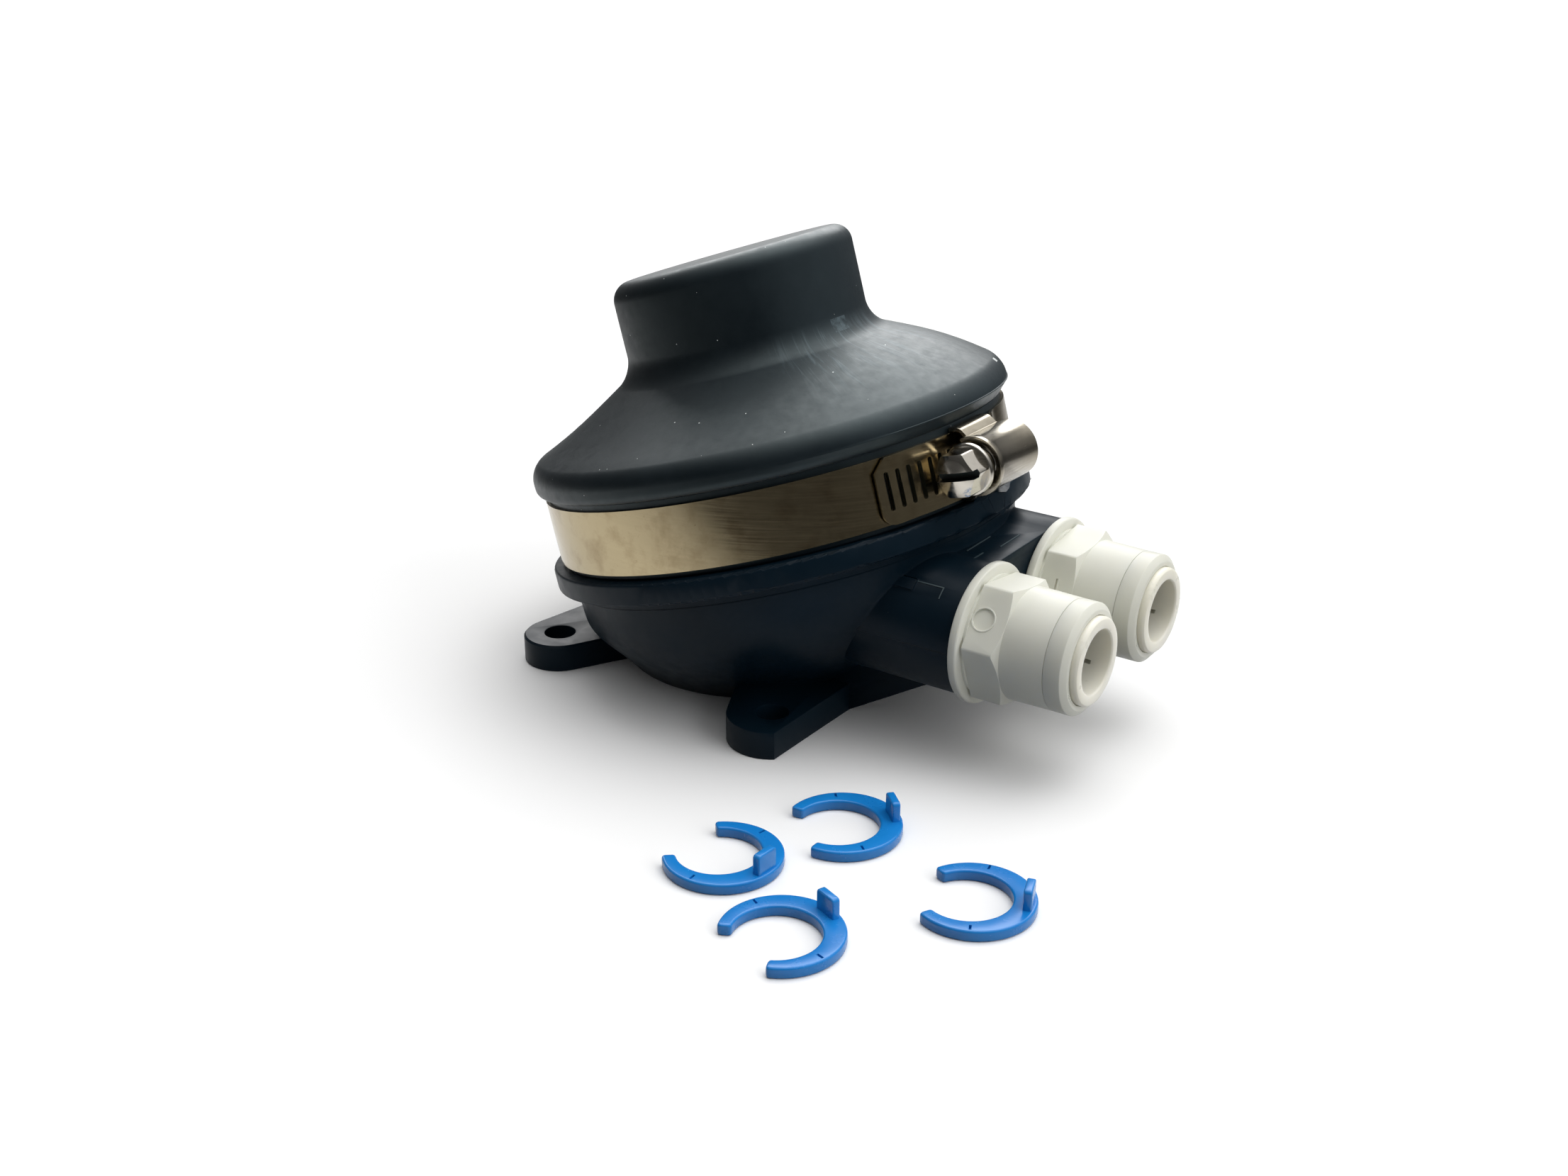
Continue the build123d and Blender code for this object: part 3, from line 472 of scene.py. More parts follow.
def dust(tree: NodeTree, place: NodeSocket, spacing: float, share: float) -> NodeSocket:
    """Scatter fine specks.

    Args:
        tree: Node tree that gets the nodes.
        place: Coordinates of the pattern.
        spacing: Distance between specks in millimetres, before most are left out.
        share: Share of the specks that stay.

    Returns:
        A mask that is 1 on a speck.
    """
    cells = add_node(tree, "ShaderNodeTexVoronoi", {"Scale": per_mm(spacing)}, {"Vector": place})
    drawn = add_node(tree, "ShaderNodeSeparateColor", links={"Color": cells.outputs["Color"]})
    # Specks are 0.1 to 0.3 mm wide
    size = add_node(tree, "ShaderNodeMapRange", {"To Min": 0.05 / spacing, "To Max": 0.15 / spacing},
                    {"Value": drawn.outputs["Green"]})
    near = add_node(tree, "ShaderNodeMath", {"operation": "LESS_THAN"},
                    {0: cells.outputs["Distance"], 1: size.outputs["Result"]})
    kept = add_node(tree, "ShaderNodeMath", {"operation": "LESS_THAN", 1: share}, {0: drawn.outputs["Red"]})
    both = add_node(tree, "ShaderNodeMath", {"operation": "MULTIPLY"},
                    {0: near.outputs[0], 1: kept.outputs[0]})
    return both.outputs[0]


def join_patterns(tree: NodeTree, shader: Node, colour: NodeSocket, gloss: NodeSocket,
                  roughness: tuple[float, float], relief: NodeSocket, depth: float,
                  strength: float = 0.5) -> None:
    """Join a finish's patterns to its shader.

    Args:
        tree: Node tree of the material.
        shader: Its principled shader.
        colour: The base colour.
        gloss: A noise that varies the roughness.
        roughness: Roughness where that noise is low and where it is high.
        relief: Height of the surface's fine relief.
        depth: Depth of that relief, in millimetres.
        strength: Share of the relief that shows.
    """
    varied = add_node(tree, "ShaderNodeMapRange",
                      {"From Min": 0.3, "From Max": 0.7, "To Min": roughness[0], "To Max": roughness[1]},
                      {"Value": gloss})
    bump = add_node(tree, "ShaderNodeBump", {"Strength": strength, "Distance": mm(depth)}, {"Height": relief})
    tree.links.new(colour, shader.inputs["Base Color"])
    tree.links.new(varied.outputs["Result"], shader.inputs["Roughness"])
    tree.links.new(bump.outputs["Normal"], shader.inputs["Normal"])


# Moulded ABS in black is a blue-black with a low gloss; along its raised lines a paler colour is painted as a
# highlight
BLACK_ABS = MouldedPlastic("ABS", "injection moulded in black", "#081721", "#0C1D28", (0.34, 0.46),
                           specks="#4C5960", gloss=0.12)
HIGHLIGHT_LINE_ABS = MouldedPlastic("ABS", "raised lines of the mould", "#3A474C", "#47555A", (0.3, 0.4))
# EPDM is blue-black, and slate grey where bloom and scuffs lie on it and on its tread side, where a thin pale
# film is partly painted sheen
BLACK_EPDM = MouldedRubber("EPDM rubber", "compression moulded", "#060F16", "#515E64", "#D5D9D8", (0.36, 0.5),
                           trodden=True)
# Small rubber parts are satin and hold dust
SEAL_NITRILE = MouldedRubber("Nitrile rubber", "moulded seals", "#121415", "#1C1F20", "#3A3D3E", (0.4, 0.55))
VALVE_SILICONE = MouldedRubber("Silicone rubber", "moulded valve", "#5A2A22", "#6E3A30", "#8A6A60",
                               (0.4, 0.55))
# Painted shade: a dull black laid into the screw's groove, with faint specks in it
GROOVE_PAINTED_SHADE = MouldedRubber("Painted shade", "black in the screw's groove", "#0B0D10", "#1A1C1E", "#2A2C2E", (0.45, 0.6))
# Natural acetal is a warm white that lets a little light in
WHITE_ACETAL = MouldedPlastic("Acetal", "injection moulded, natural", "#E2E2D8", "#DCDCD0", (0.34, 0.44),
                              subsurface=0.25, gloss=0.22)
COLLET_ACETAL = MouldedPlastic("Acetal", "injection moulded collets", "#F5F2E6", "#EEEAD8", (0.26, 0.36),
                               subsurface=0.3)
CAGE_ACETAL = MouldedPlastic("Acetal", "injection moulded cages", "#C9CCC6", "#BFC2BB", (0.4, 0.5))
# Glass fibre makes nylon dull and a little uneven
INSERT_NYLON = MouldedPlastic("Glass-filled nylon", "injection moulded insert", "#2A2C2D", "#35383A",
                              (0.5, 0.62))
# Polypropylene is waxy and takes a clear even blue
BLUE_POLYPROPYLENE = MouldedPlastic("Polypropylene", "injection moulded in blue", "#147CCC", "#1B86D4",
                                    (0.2, 0.3), grain=0.5, subsurface=0.1)
# Rolled 304 strip carries a straw tint and small stains
BAND_STEEL = Steel("304 stainless steel", "cold rolled strip", "#A99B7C", "#6A5433", (0.13, 0.22),
                   stained=0.45)
HOUSING_STEEL = Steel("304 stainless steel", "pressed sheet", "#A39C8D", "#7A7162", (0.16, 0.28),
                      stained=0.4)
# Zinc is brighter and smoother than the strip, and drawn wire is duller
SCREW_STEEL = Steel("Zinc-plated steel", "cold headed", "#C9C4BA", "#8C8272", (0.1, 0.2), stained=0.35,
                    line_depth=0.0008)
SPRING_STEEL = Steel("Spring steel", "drawn wire", "#A7A7A3", "#7A7772", (0.25, 0.35))
GRIP_STEEL = Steel("Spring steel", "stamped grip rings", "#B2B1AC", "#8B8983", (0.25, 0.35), tilt=90.0)


@functools.cache
def material_of(finish: Finish) -> Material:
    """The material of a finish, made once."""
    return finish.build()


def corner_offset(before: Vector, corner: Vector, after: Vector, radius: float) -> float:
    """Distance from a corner at which an arc of a radius touches its two sides."""
    turn = (corner - before).angle(after - corner)
    return radius * math.tan(turn / 2)


def outline(points: Sequence[Point], rounds: Mapping[int, float], closed: bool) -> BMesh:
    """Draw an outline in the XZ plane with rounded corners.

    Args:
        points: Radius and height of each corner.
        rounds: Radius of the arc at a corner, by the corner's place in points.
        closed: Whether the last point is joined to the first.

    Returns:
        A mesh of edges only.
    """
    mesh = bmesh.new()
    corners = [mesh.verts.new((radius, 0, height)) for radius, height in points]
    pairs = list(zip(corners, corners[1:] + corners[:1]))
    for first, second in pairs if closed else pairs[:-1]:
        mesh.edges.new((first, second))
    places = [Vector((radius, 0, height)) for radius, height in points]
    for index, radius in rounds.items():
        offset = corner_offset(places[index - 1], places[index], places[(index + 1) % len(places)], radius)
        # Three segments for each millimetre of radius
        bmesh.ops.bevel(mesh, geom=[corners[index]], offset=offset, offset_type="OFFSET",
                        segments=max(3, round(radius * 3)), profile=0.5, affect="VERTICES", material=-1)
    return mesh


def ease(value: float) -> float:
    """Smooth step of a value from 0 to 1."""
    share = min(1.0, max(0.0, value))
    return share * share * (3 - 2 * share)


def close_up(mesh: BMesh) -> None:
    """Merge a mesh's doubles and point its faces outwards.

    Args:
        mesh: Mesh that changes.
    """
    bmesh.ops.remove_doubles(mesh, verts=mesh.verts[:], dist=MERGE_DISTANCE)
    bmesh.ops.dissolve_degenerate(mesh, dist=MERGE_DISTANCE / 10, edges=mesh.edges[:])
    bmesh.ops.recalc_face_normals(mesh, faces=mesh.faces[:])


def turn_mesh(mesh: BMesh, angle: float, axis: str = "Z") -> None:
    """Turn a mesh round an axis of its frame, by an angle in degrees."""
    bmesh.ops.rotate(mesh, verts=mesh.verts[:], matrix=Matrix.Rotation(math.radians(angle), 3, axis))


def move_mesh(mesh: BMesh, place: Matrix) -> None:
    """Move a mesh from its own frame to the one that holds it."""
    bmesh.ops.transform(mesh, verts=mesh.verts[:], matrix=place)


def start_face(mesh: BMesh, corners: Sequence[Place]) -> list[Any]:
    """Draw a face that is to be spun.

    Args:
        mesh: Mesh that gets the face.
        corners: Its corners in order.

    Returns:
        The face with its edges and corners.
    """
    face = mesh.faces.new([mesh.verts.new(corner) for corner in corners])
    return [face, *face.edges, *face.verts]


def raised_vertices(result: Mapping[str, Any]) -> list[BMVert]:
    """The vertices that an extrusion made."""
    return [item for item in result["geom"] if isinstance(item, BMVert)]


def upright_edges(mesh: BMesh) -> list[BMEdge]:
    """Edges of a prism that run along Z."""
    return [edge for edge in mesh.edges if abs(edge.verts[0].co.z - edge.verts[1].co.z) > 1]


def out_from_axis(turn: float, reach: float, level: float) -> Matrix:
    """Frame at an angle in degrees round Z, at a reach from it and at a level, whose X points out."""
    return Matrix.Rotation(math.radians(turn), 4, "Z") @ Matrix.Translation((reach, 0, level))


def lathe(points: Sequence[Point], rounds: Mapping[int, float] | None = None, closed: bool = True,
          steps: int = 120) -> BMesh:
    """Turn an outline round Z.

    Args:
        points: Radius and height of each corner.
        rounds: Radius of the arc at a corner, by the corner's place in points.
        closed: Whether the outline is a ring, and not open with both its ends on the axis.
        steps: Steps in the full turn.

    Returns:
        A closed mesh.
    """
    mesh = outline(points, rounds or {}, closed)
    bmesh.ops.spin(mesh, geom=mesh.verts[:] + mesh.edges[:], axis=(0, 0, 1), cent=(0, 0, 0), angle=FULL_TURN,
                   steps=steps, use_merge=True)
    close_up(mesh)
    return mesh


def prism(sides: int, radius: float, low: float, high: float, turn: float = 0.0) -> BMesh:
    """Raise a regular polygon along Z.

    Args:
        sides: Number of sides.
        radius: Radius over the corners.
        low: Height of the lower end.
        high: Height of the upper end.
        turn: Angle of a corner round Z, in degrees.

    Returns:
        A closed mesh.
    """
    mesh = bmesh.new()
    place = Matrix.Rotation(math.radians(turn), 4, "Z") @ Matrix.Translation((0, 0, low))
    first = Matrix.Rotation(math.radians(-90), 4, "Z")
    bmesh.ops.create_circle(mesh, cap_ends=True, segments=sides, radius=radius, matrix=place @ first)
    raised = bmesh.ops.extrude_face_region(mesh, geom=mesh.faces[:])
    bmesh.ops.translate(mesh, verts=raised_vertices(raised), vec=(0, 0, high - low))
    close_up(mesh)
    return mesh


def block(low: Place, high: Place) -> BMesh:
    """Make a box.

    Args:
        low: Its corner with the lowest coordinates.
        high: Its corner with the highest coordinates.

    Returns:
        A closed mesh.
    """
    mesh = bmesh.new()
    middle = (Vector(low) + Vector(high)) / 2
    size = Vector(high) - Vector(low)
    bmesh.ops.create_cube(mesh, size=1.0, matrix=Matrix.Translation(middle) @ Matrix.Diagonal((*size, 1.0)))
    return mesh


def to_object(mesh: BMesh, name: str) -> Object:
    """Put a mesh into an object of the scene and free it.

    Args:
        mesh: Mesh that is used up.
        name: Name of the object and its mesh.

    Returns:
        The object.
    """
    data = bpy.data.meshes.new(name)
    mesh.to_mesh(data)
    mesh.free()
    piece = bpy.data.objects.new(name, data)
    bpy.context.scene.collection.objects.link(piece)
    return piece


def take_mesh(piece: Object) -> BMesh:
    """Take the mesh out of an object and drop the object.

    Args:
        piece: Object that is used up.

    Returns:
        Its mesh.
    """
    mesh = bmesh.new()
    mesh.from_mesh(piece.data)
    bpy.data.objects.remove(piece)
    return mesh


def settle(piece: Object) -> None:
    """Put a piece's modifiers into its mesh.

    Args:
        piece: Piece that changes.
    """
    view = bpy.context.evaluated_depsgraph_get()
    final = bpy.data.meshes.new_from_object(piece.evaluated_get(view))
    old = piece.data
    piece.modifiers.clear()
    piece.data = final
    final.name = piece.name
    bpy.data.meshes.remove(old)


def combine(piece: Object, tools: Sequence[BMesh], cut: Cut) -> Object:
    """Join, remove or keep in common closed meshes, one after another.

    Args:
        piece: Piece that changes.
        tools: Closed meshes in the piece's own frame, which are used up.
        cut: How they are put together.

    Returns:
        The piece.
    """
    for mesh in tools:
        tool = to_object(mesh, "tool")
        modifier = piece.modifiers.new("cut", "BOOLEAN")
        modifier.operation, modifier.object, modifier.solver = cut.value, tool, "EXACT"
        settle(piece)
        bpy.data.objects.remove(tool)
    return piece


def bevel_edges(mesh: BMesh, edges: Sequence[BMEdge], width: float, segments: int = 3) -> None:
    """Round edges of a mesh.

    Args:
        mesh: Mesh that changes.
        edges: Its edges that are rounded.
        width: Width of the rounding.
        segments: Segments of the rounding.
    """
    bmesh.ops.bevel(mesh, geom=list(edges), offset=width, offset_type="OFFSET", segments=segments,
                    profile=0.5, affect="EDGES", material=-1)


def finish_piece(piece: Object, place: Matrix, finish: Finish, replaced: Sequence[str],
                 edge_width: float = 0.0, edge_angle: float = 35.0, segments: int = 3,
                 inside: Sequence[Finish] = ()) -> Object:
    """Place a piece in the row frame and dress it.

    Args:
        piece: Piece whose mesh is in millimetres in a frame of its own.
        place: That frame in the row frame, in millimetres.
        finish: What the piece is made of.
        replaced: CAD nodes that the piece stands for.
        edge_width: Width of the rounding of its sharp edges, in millimetres.
        edge_angle: Angle in degrees from which an edge is sharp.
        segments: Segments of that rounding.
        inside: Finishes of faces with a material index above 0.

    Returns:
        The piece.
    """
    piece.data.transform(Matrix.Scale(mm(1), 4) @ place)
    mesh = bmesh.new()
    mesh.from_mesh(piece.data)
    bmesh.ops.recalc_face_normals(mesh, faces=mesh.faces[:])
    for face in mesh.faces:
        face.smooth = True
    for edge in mesh.edges:
        edge.smooth = edge.calc_face_angle(0.0) < math.radians(edge_angle)
    mesh.to_mesh(piece.data)
    mesh.free()
    if edge_width:
        modifier = piece.modifiers.new("edges", "BEVEL")
        modifier.width, modifier.segments = mm(edge_width), segments
        modifier.limit_method, modifier.angle_limit = "ANGLE", math.radians(edge_angle)
        modifier.harden_normals = True
        modifier.use_clamp_overlap = True
    for wanted in (finish, *inside):
        piece.data.materials.append(material_of(wanted))
    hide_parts(*replaced)
    log.info("%s: %d faces, replaces %s", piece.name, len(piece.data.polygons), ", ".join(replaced))
    return piece


def port_place(side: Side) -> Matrix:
    """Frame of a port whose Z runs out along it from the row frame's YZ plane, with X up.

    Args:
        side: The port.

    Returns:
        The frame, in millimetres.
    """
    turn = Matrix(((0, 0, 1, 0), (0, -1, 0, 0), (1, 0, 0, 0), (0, 0, 0, 1)))
    return Matrix.Translation((0, side.value * PORT_SPACING, PORT_HEIGHT)) @ turn


@dataclass(frozen=True)
class Diaphragm:
    """Rubber crown, cone and skirt, one moulding that bends between the base and the crown."""

    crown_radius: float = 24.8
    crown_top: float = 52.4
    neck: float = 33.2
    rim_radius: float = 49.5
    rim_top: float = 19.51
    rim_foot: float = 14.0
    skirt_radius: float = 47.3
    skirt_bore: float = 44.6
    skirt_foot: float = -1.15
    ledge: float = 11.55
    bead_radius: float = 41.55
    lip_radius: float = 20.3
    insert_bore: float = 21.6
    insert_top: float = 48.35
    insert_foot: float = 33.0
    wall: float = 3.2
    slope: float = 29.0
    lean: float = 3.0
    lean_height: float = 15.0
    bulge: float = 1.3
    bulge_turn: float = 35.0
    far_bulge: float = 0.6
    bulge_skew: float = 1.3
    tuck: float = 1.1
    tuck_height: float = 1.6
    line_height: float = 16.5
    line_half: float = 0.16
    line_flat: float = 0.08
    line_out: float = 0.12

    def relax(self, mesh: BMesh) -> None:
        """Lean the crown's top, let the cone swell on one side and tuck the rim in under its mould line.

        Args:
            mesh: The turned moulding, on the clamp seat.
        """
        fall = math.tan(math.radians(self.slope))
        half_wall = self.wall / 2 / math.cos(math.radians(self.slope))
        tilt = math.tan(math.radians(self.lean))
        # The swell starts 2 mm inside the crown's outline
        start = self.crown_radius - 2.0
        for vertex in mesh.verts:
            x, y, z = vertex.co
            reach = math.hypot(x, y)
            facing = math.cos(math.atan2(y, x) - math.radians(self.bulge_turn))
            # All but the seat of the rigid insert leans
            if reach > self.insert_bore + 1.0 or z > self.insert_top + 1.0:
                vertex.co.z += x * tilt * ease((z - self.neck - 1.0) / self.lean_height)
            # Only the outer half of the cone's wall swells
            outer = self.neck - (reach - self.crown_radius) * fall
            share = (reach - start) / (self.rim_radius - start)
            if 0.0 < share and outer - half_wall < z < outer + 5.0:
                swell = self.bulge if facing > 0 else self.far_bulge * self.bulge
                vertex.co.z += swell * facing * math.sin(math.pi * min(share, 1.0) ** self.bulge_skew)
            # The mould line fades out on the far side
            if reach > self.rim_radius + 0.05:
                vertex.co.xy *= (self.rim_radius + (reach - self.rim_radius) * max(0.0, facing)) / reach
            if reach > self.skirt_radius + 0.1 and z < self.line_height - 0.1:
                inward = self.tuck * max(0.0, facing) * ease((self.line_height - z) / self.tuck_height)
                vertex.co.x -= x / reach * inward
                vertex.co.y -= y / reach * inward

    def build(self) -> Object:
        """Make the moulding.

        Returns:
            The dressed piece.
        """
        fall = math.tan(math.radians(self.slope))
        drop = self.wall / math.cos(math.radians(self.slope))
        points = (
            (0, self.crown_top),
            (self.crown_radius, self.crown_top),
            (self.crown_radius, self.neck),
            (self.rim_radius, self.rim_top),
            (self.rim_radius, self.line_height + self.line_half),
            (self.rim_radius + self.line_out, self.line_height + self.line_flat),
            (self.rim_radius + self.line_out, self.line_height - self.line_flat),
            (self.rim_radius, self.line_height - self.line_half),
            (self.rim_radius, self.rim_foot),
            (self.skirt_radius, self.rim_foot),
            (self.skirt_radius, self.skirt_foot),
            (self.skirt_bore, self.skirt_foot),
            (self.skirt_bore, self.ledge),
            (self.bead_radius, self.ledge),
            (self.bead_radius, self.neck - (self.bead_radius - self.crown_radius) * fall - drop),
            (self.lip_radius, self.neck + (self.crown_radius - self.lip_radius) * fall - drop),
            (self.lip_radius, self.insert_foot),
            (self.insert_bore, self.insert_foot),
            (self.insert_bore, self.insert_top),
            (0, self.insert_top),
        )
        # Arcs at the crown's edge and foot, the rim's top and foot, the skirt's foot and inside the rim
        rounds = {1: 3.8, 2: 6.5, 3: 4.4, 8: 1.7, 10: 0.4, 14: 3.2}
        mesh = lathe(points, rounds, closed=False, steps=160)
        # Long edges are divided, so that the wall can bend
        long_edges = [edge for edge in mesh.edges if edge.calc_length() > 7.0]
        bmesh.ops.subdivide_edges(mesh, edges=long_edges, cuts=7)
        self.relax(mesh)
        piece = to_object(mesh, "rubber_diaphragm")
        finish_piece(piece, SEAT.place(), BLACK_EPDM, ("diaphragm_crown", "diaphragm_skirt"))
        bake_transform(piece)
        return piece


@dataclass(frozen=True)
class ReturnSpring:
    """Coil spring between the tower in the base and the insert in the crown."""

    radius: float = 11.5
    wire: float = 2.0
    foot: float = -8.0
    head: float = 45.05
    turns: int = 9

    def build(self) -> Object:
        """Make the wound wire.

        Returns:
            The dressed piece.
        """
        mesh = bmesh.new()
        centre = Matrix.Translation((self.radius, 0, self.foot + self.wire / 2))
        bmesh.ops.create_circle(mesh, cap_ends=True, segments=12, radius=self.wire / 2,
                                matrix=centre @ Matrix.Rotation(math.pi / 2, 4, "X"))
        steps = self.turns * 36
        rise = (self.head - self.foot - self.wire) / steps
        bmesh.ops.spin(mesh, geom=mesh.faces[:] + mesh.edges[:] + mesh.verts[:], axis=(0, 0, 1),
                       cent=(0, 0, 0), dvec=(0, 0, rise), angle=FULL_TURN * self.turns, steps=steps)
        close_up(mesh)
        piece = to_object(mesh, "return_spring_wire")
        finish_piece(piece, SEAT.place(), SPRING_STEEL, ("return_spring",), edge_angle=60.0)
        SEAT.above(self.head)
        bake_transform(piece)
        return piece


@dataclass(frozen=True)
class HoseClip:
    """Worm-drive clip: slotted band, housing over the worm, and screw."""

    band_radius: float = 48.0
    band_thickness: float = 0.65
    band_width: float = 12.7
    tail_gap: float = 0.05
    tail_end: float = -31.7
    tail_flat: float = 3.4
    tail_round: float = 2.6
    tail_lift: float = 0.55
    lift_sweep: float = 10.0
    step_start: float = 9.0
    step_sweep: float = 3.0
    band_end: float = -4.0
    slot_pitch: float = 3.0
    slot_first: float = 2.7
    slot_count: int = 11
    slot_height: float = 7.4
    slot_width: float = 1.05
    housing_turn: float = -2.5
    housing_head_reach: float = 7.5
    housing_far_reach: float = 6.1
    barrel_radius: float = 5.2
    sheet: float = 0.8
    wrap: float = 112.0
    bead_height: float = 0.2
    bead_width: float = 1.3
    bead_end: float = 1.6
    strap_width: float = 10.5
    strap_out: float = 1.2
    strap_gap: float = 0.05
    strap_round: float = 1.7
    screw_radius: float = 53.4
    worm_reach: float = 6.1
    worm_radius: float = 4.4
    worm_ridges: int = 6
    shaft_radius: float = 3.4
    neck_radius: float = 2.7
    collar_radius: float = 5.1
    collar_start: float = 8.7
    collar_end: float = 9.9
    foot_radius: float = 3.9
    foot_end: float = 10.4
    hexagon_across: float = 8.0
    head_start: float = 9.7
    head_end: float = 15.1
    groove_half: float = 0.8
    groove_floor: float = 12.7

    @property
    def tail_line(self) -> float:
        """Radius of the middle of the tail's sheet."""
        return self.band_radius + self.band_thickness / 2 + self.tail_gap

    def strip(self) -> BMesh:
        """Spin the strip, from the end of its tail, over the step and round the rubber.

        Returns:
            A closed mesh on the clamp seat.
        """
        half = self.band_thickness / 2
        mesh = bmesh.new()
        places = ((-half, 0), (half, 0), (half, self.band_width), (-half, self.band_width))
        end = start_face(mesh, [(self.tail_line + across, 0, height) for across, height in places])
        turn_mesh(mesh, self.tail_end)
        middle = math.radians(self.step_start + self.step_sweep / 2)
        inward = -(self.band_thickness + self.tail_gap) / 3
        step = Vector((math.cos(middle), math.sin(middle), 0)) * inward
        tail_sweep = self.step_start - self.tail_end - self.tail_flat
        ring_sweep = 360 + self.band_end - self.step_start - self.step_sweep
        for sweep, steps, shift in ((self.tail_flat, 1, Vector()), (tail_sweep, 24, Vector()),
                                    (self.step_sweep, 3, step), (ring_sweep, 172, Vector())):
            turned = bmesh.ops.spin(mesh, geom=end, axis=(0, 0, 1), cent=(0, 0, 0), dvec=shift,
                                    angle=math.radians(sweep), steps=steps)
            end = turned["geom_last"]
        close_up(mesh)
        # The tail's upper corner is cut straight and its lower corner is round
        turn = math.radians(self.tail_end)
        outward = Vector((math.cos(turn), math.sin(turn), 0))
        for height, segments in ((self.band_width, 1), (0.0, 6)):
            corner = outward * self.tail_line + Vector((0, 0, height))
            edge = min(mesh.edges, key=lambda e: ((e.verts[0].co + e.verts[1].co) / 2 - corner).length)
            bevel_edges(mesh, [edge], self.tail_round, segments)
        # The tail's free end stands off the ring
        for vertex in mesh.verts:
            reach = math.hypot(vertex.co.x, vertex.co.y)
            turn = math.degrees(math.atan2(vertex.co.y, vertex.co.x)) - self.tail_end
            if reach > self.band_radius + 0.02 and 0 <= turn + 0.5 < self.lift_sweep:
                vertex.co.xy *= 1 + self.tail_lift * (1 - ease(turn / self.lift_sweep)) / reach
        return mesh

    def slot_cutter(self, step: int) -> BMesh:
        """Make a cutter for one of the tail's slots, which has round ends.

        Args:
            step: Number of the slot, from the tail's end.

        Returns:
            A closed mesh on the clamp seat.
        """
        radius = self.slot_width / 2
        reach = self.slot_height / 2 - radius
        mesh = prism(16, radius, -1.4, 1.6)
        for vertex in mesh.verts:
            vertex.co.x += reach if vertex.co.x > radius / 9 else -reach if vertex.co.x < -radius / 9 else 0.0
        turn = self.tail_end + self.slot_first + step * self.slot_pitch
        outward = out_from_axis(turn, self.tail_line, self.band_width / 2)
        move_mesh(mesh, outward @ Matrix.Rotation(math.pi / 2, 4, "Y"))
        return mesh

    def build_band(self) -> Object:
        """Make the band.

        Returns:
            The dressed piece.
        """
        piece = to_object(self.strip(), "hose_clip_band")
        combine(piece, [self.slot_cutter(step) for step in range(self.slot_count)], Cut.REMOVE)
        finish_piece(piece, SEAT.place(), BAND_STEEL, ("clip_band",), edge_width=0.12, segments=2)
        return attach(piece, Body.BASE.value)

    def barrel(self) -> BMesh:
        """Roll the housing's barrel, with a bead at the end next to the screw's head.

        Returns:
            A closed mesh on the clamp seat, with X out through the screw.
        """
        low, high = self.barrel_radius - self.sheet / 2, self.barrel_radius + self.sheet / 2
        near, far = -self.housing_head_reach, self.housing_far_reach
        top = high + self.bead_height
        section = ((low, near), (top, near), (top, near + self.bead_width), (high, near + self.bead_end),
                   (high, far), (low, far))
        mesh = bmesh.new()
        face = start_face(mesh, [(radius, along, 0) for radius, along in section])
        turn_mesh(mesh, self.wrap, "Y")
        bmesh.ops.spin(mesh, geom=face, axis=(0, 1, 0), cent=(0, 0, 0), angle=-math.radians(2 * self.wrap),
                       steps=56)
        bmesh.ops.translate(mesh, verts=mesh.verts[:], vec=(self.screw_radius, 0, self.band_width / 2))
        close_up(mesh)
        return mesh

    def strap(self, side: int) -> BMesh:
        """Fold one of the housing's feet, which hooks round an edge of the band.

        Args:
            side: -1 for the lower foot and 1 for the upper one.

        Returns:
            A closed mesh on the clamp seat, with X out through the screw.
        """
        middle = self.band_width / 2
        wrap = math.radians(self.wrap)
        foot = middle + self.strap_gap + self.sheet / 2
        corners = (
            (self.band_radius - self.sheet / 2, middle + side * foot),
            (self.tail_line + self.band_thickness / 2 + self.strap_out, middle + side * foot),
            (self.screw_radius + self.barrel_radius * math.cos(wrap),
             middle + side * self.barrel_radius * math.sin(wrap)),
        )
        mesh = outline(corners, {1: self.strap_round}, closed=False)
        bmesh.ops.translate(mesh, verts=mesh.verts[:], vec=(0, -self.strap_width / 2, 0))
        raised = bmesh.ops.extrude_edge_only(mesh, edges=mesh.edges[:])
        bmesh.ops.translate(mesh, verts=raised_vertices(raised), vec=(0, self.strap_width, 0))
        bmesh.ops.recalc_face_normals(mesh, faces=mesh.faces[:])
        piece = to_object(mesh, "strap")
        modifier = piece.modifiers.new("sheet", "SOLIDIFY")
        modifier.thickness, modifier.offset = self.sheet, 0.0
        settle(piece)
        return take_mesh(piece)

    def build_housing(self) -> Object:
        """Make the housing: a rolled barrel on two feet.

        Returns:
            The dressed piece.
        """
        piece = to_object(self.barrel(), "hose_clip_housing")
        for side in (-1, 1):
            combine(piece, [self.strap(side)], Cut.JOIN)
        place = SEAT.place(self.housing_turn)
        finish_piece(piece, place, HOUSING_STEEL, ("clip_housing",), edge_width=0.22, segments=3)
        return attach(piece, Body.BASE.value)

    def in_groove(self, centre: Vector, normal: Vector) -> bool:
        """Whether a face of the screw's head is a wall or the floor of its groove."""
        inside = abs(centre.x) < 4.6 and abs(centre.y) < self.groove_half + 0.02
        between = self.groove_floor - 0.1 < centre.z < self.head_end - 0.1
        return inside and between and (abs(normal.y) > 0.9 or centre.z < self.groove_floor + 0.1)

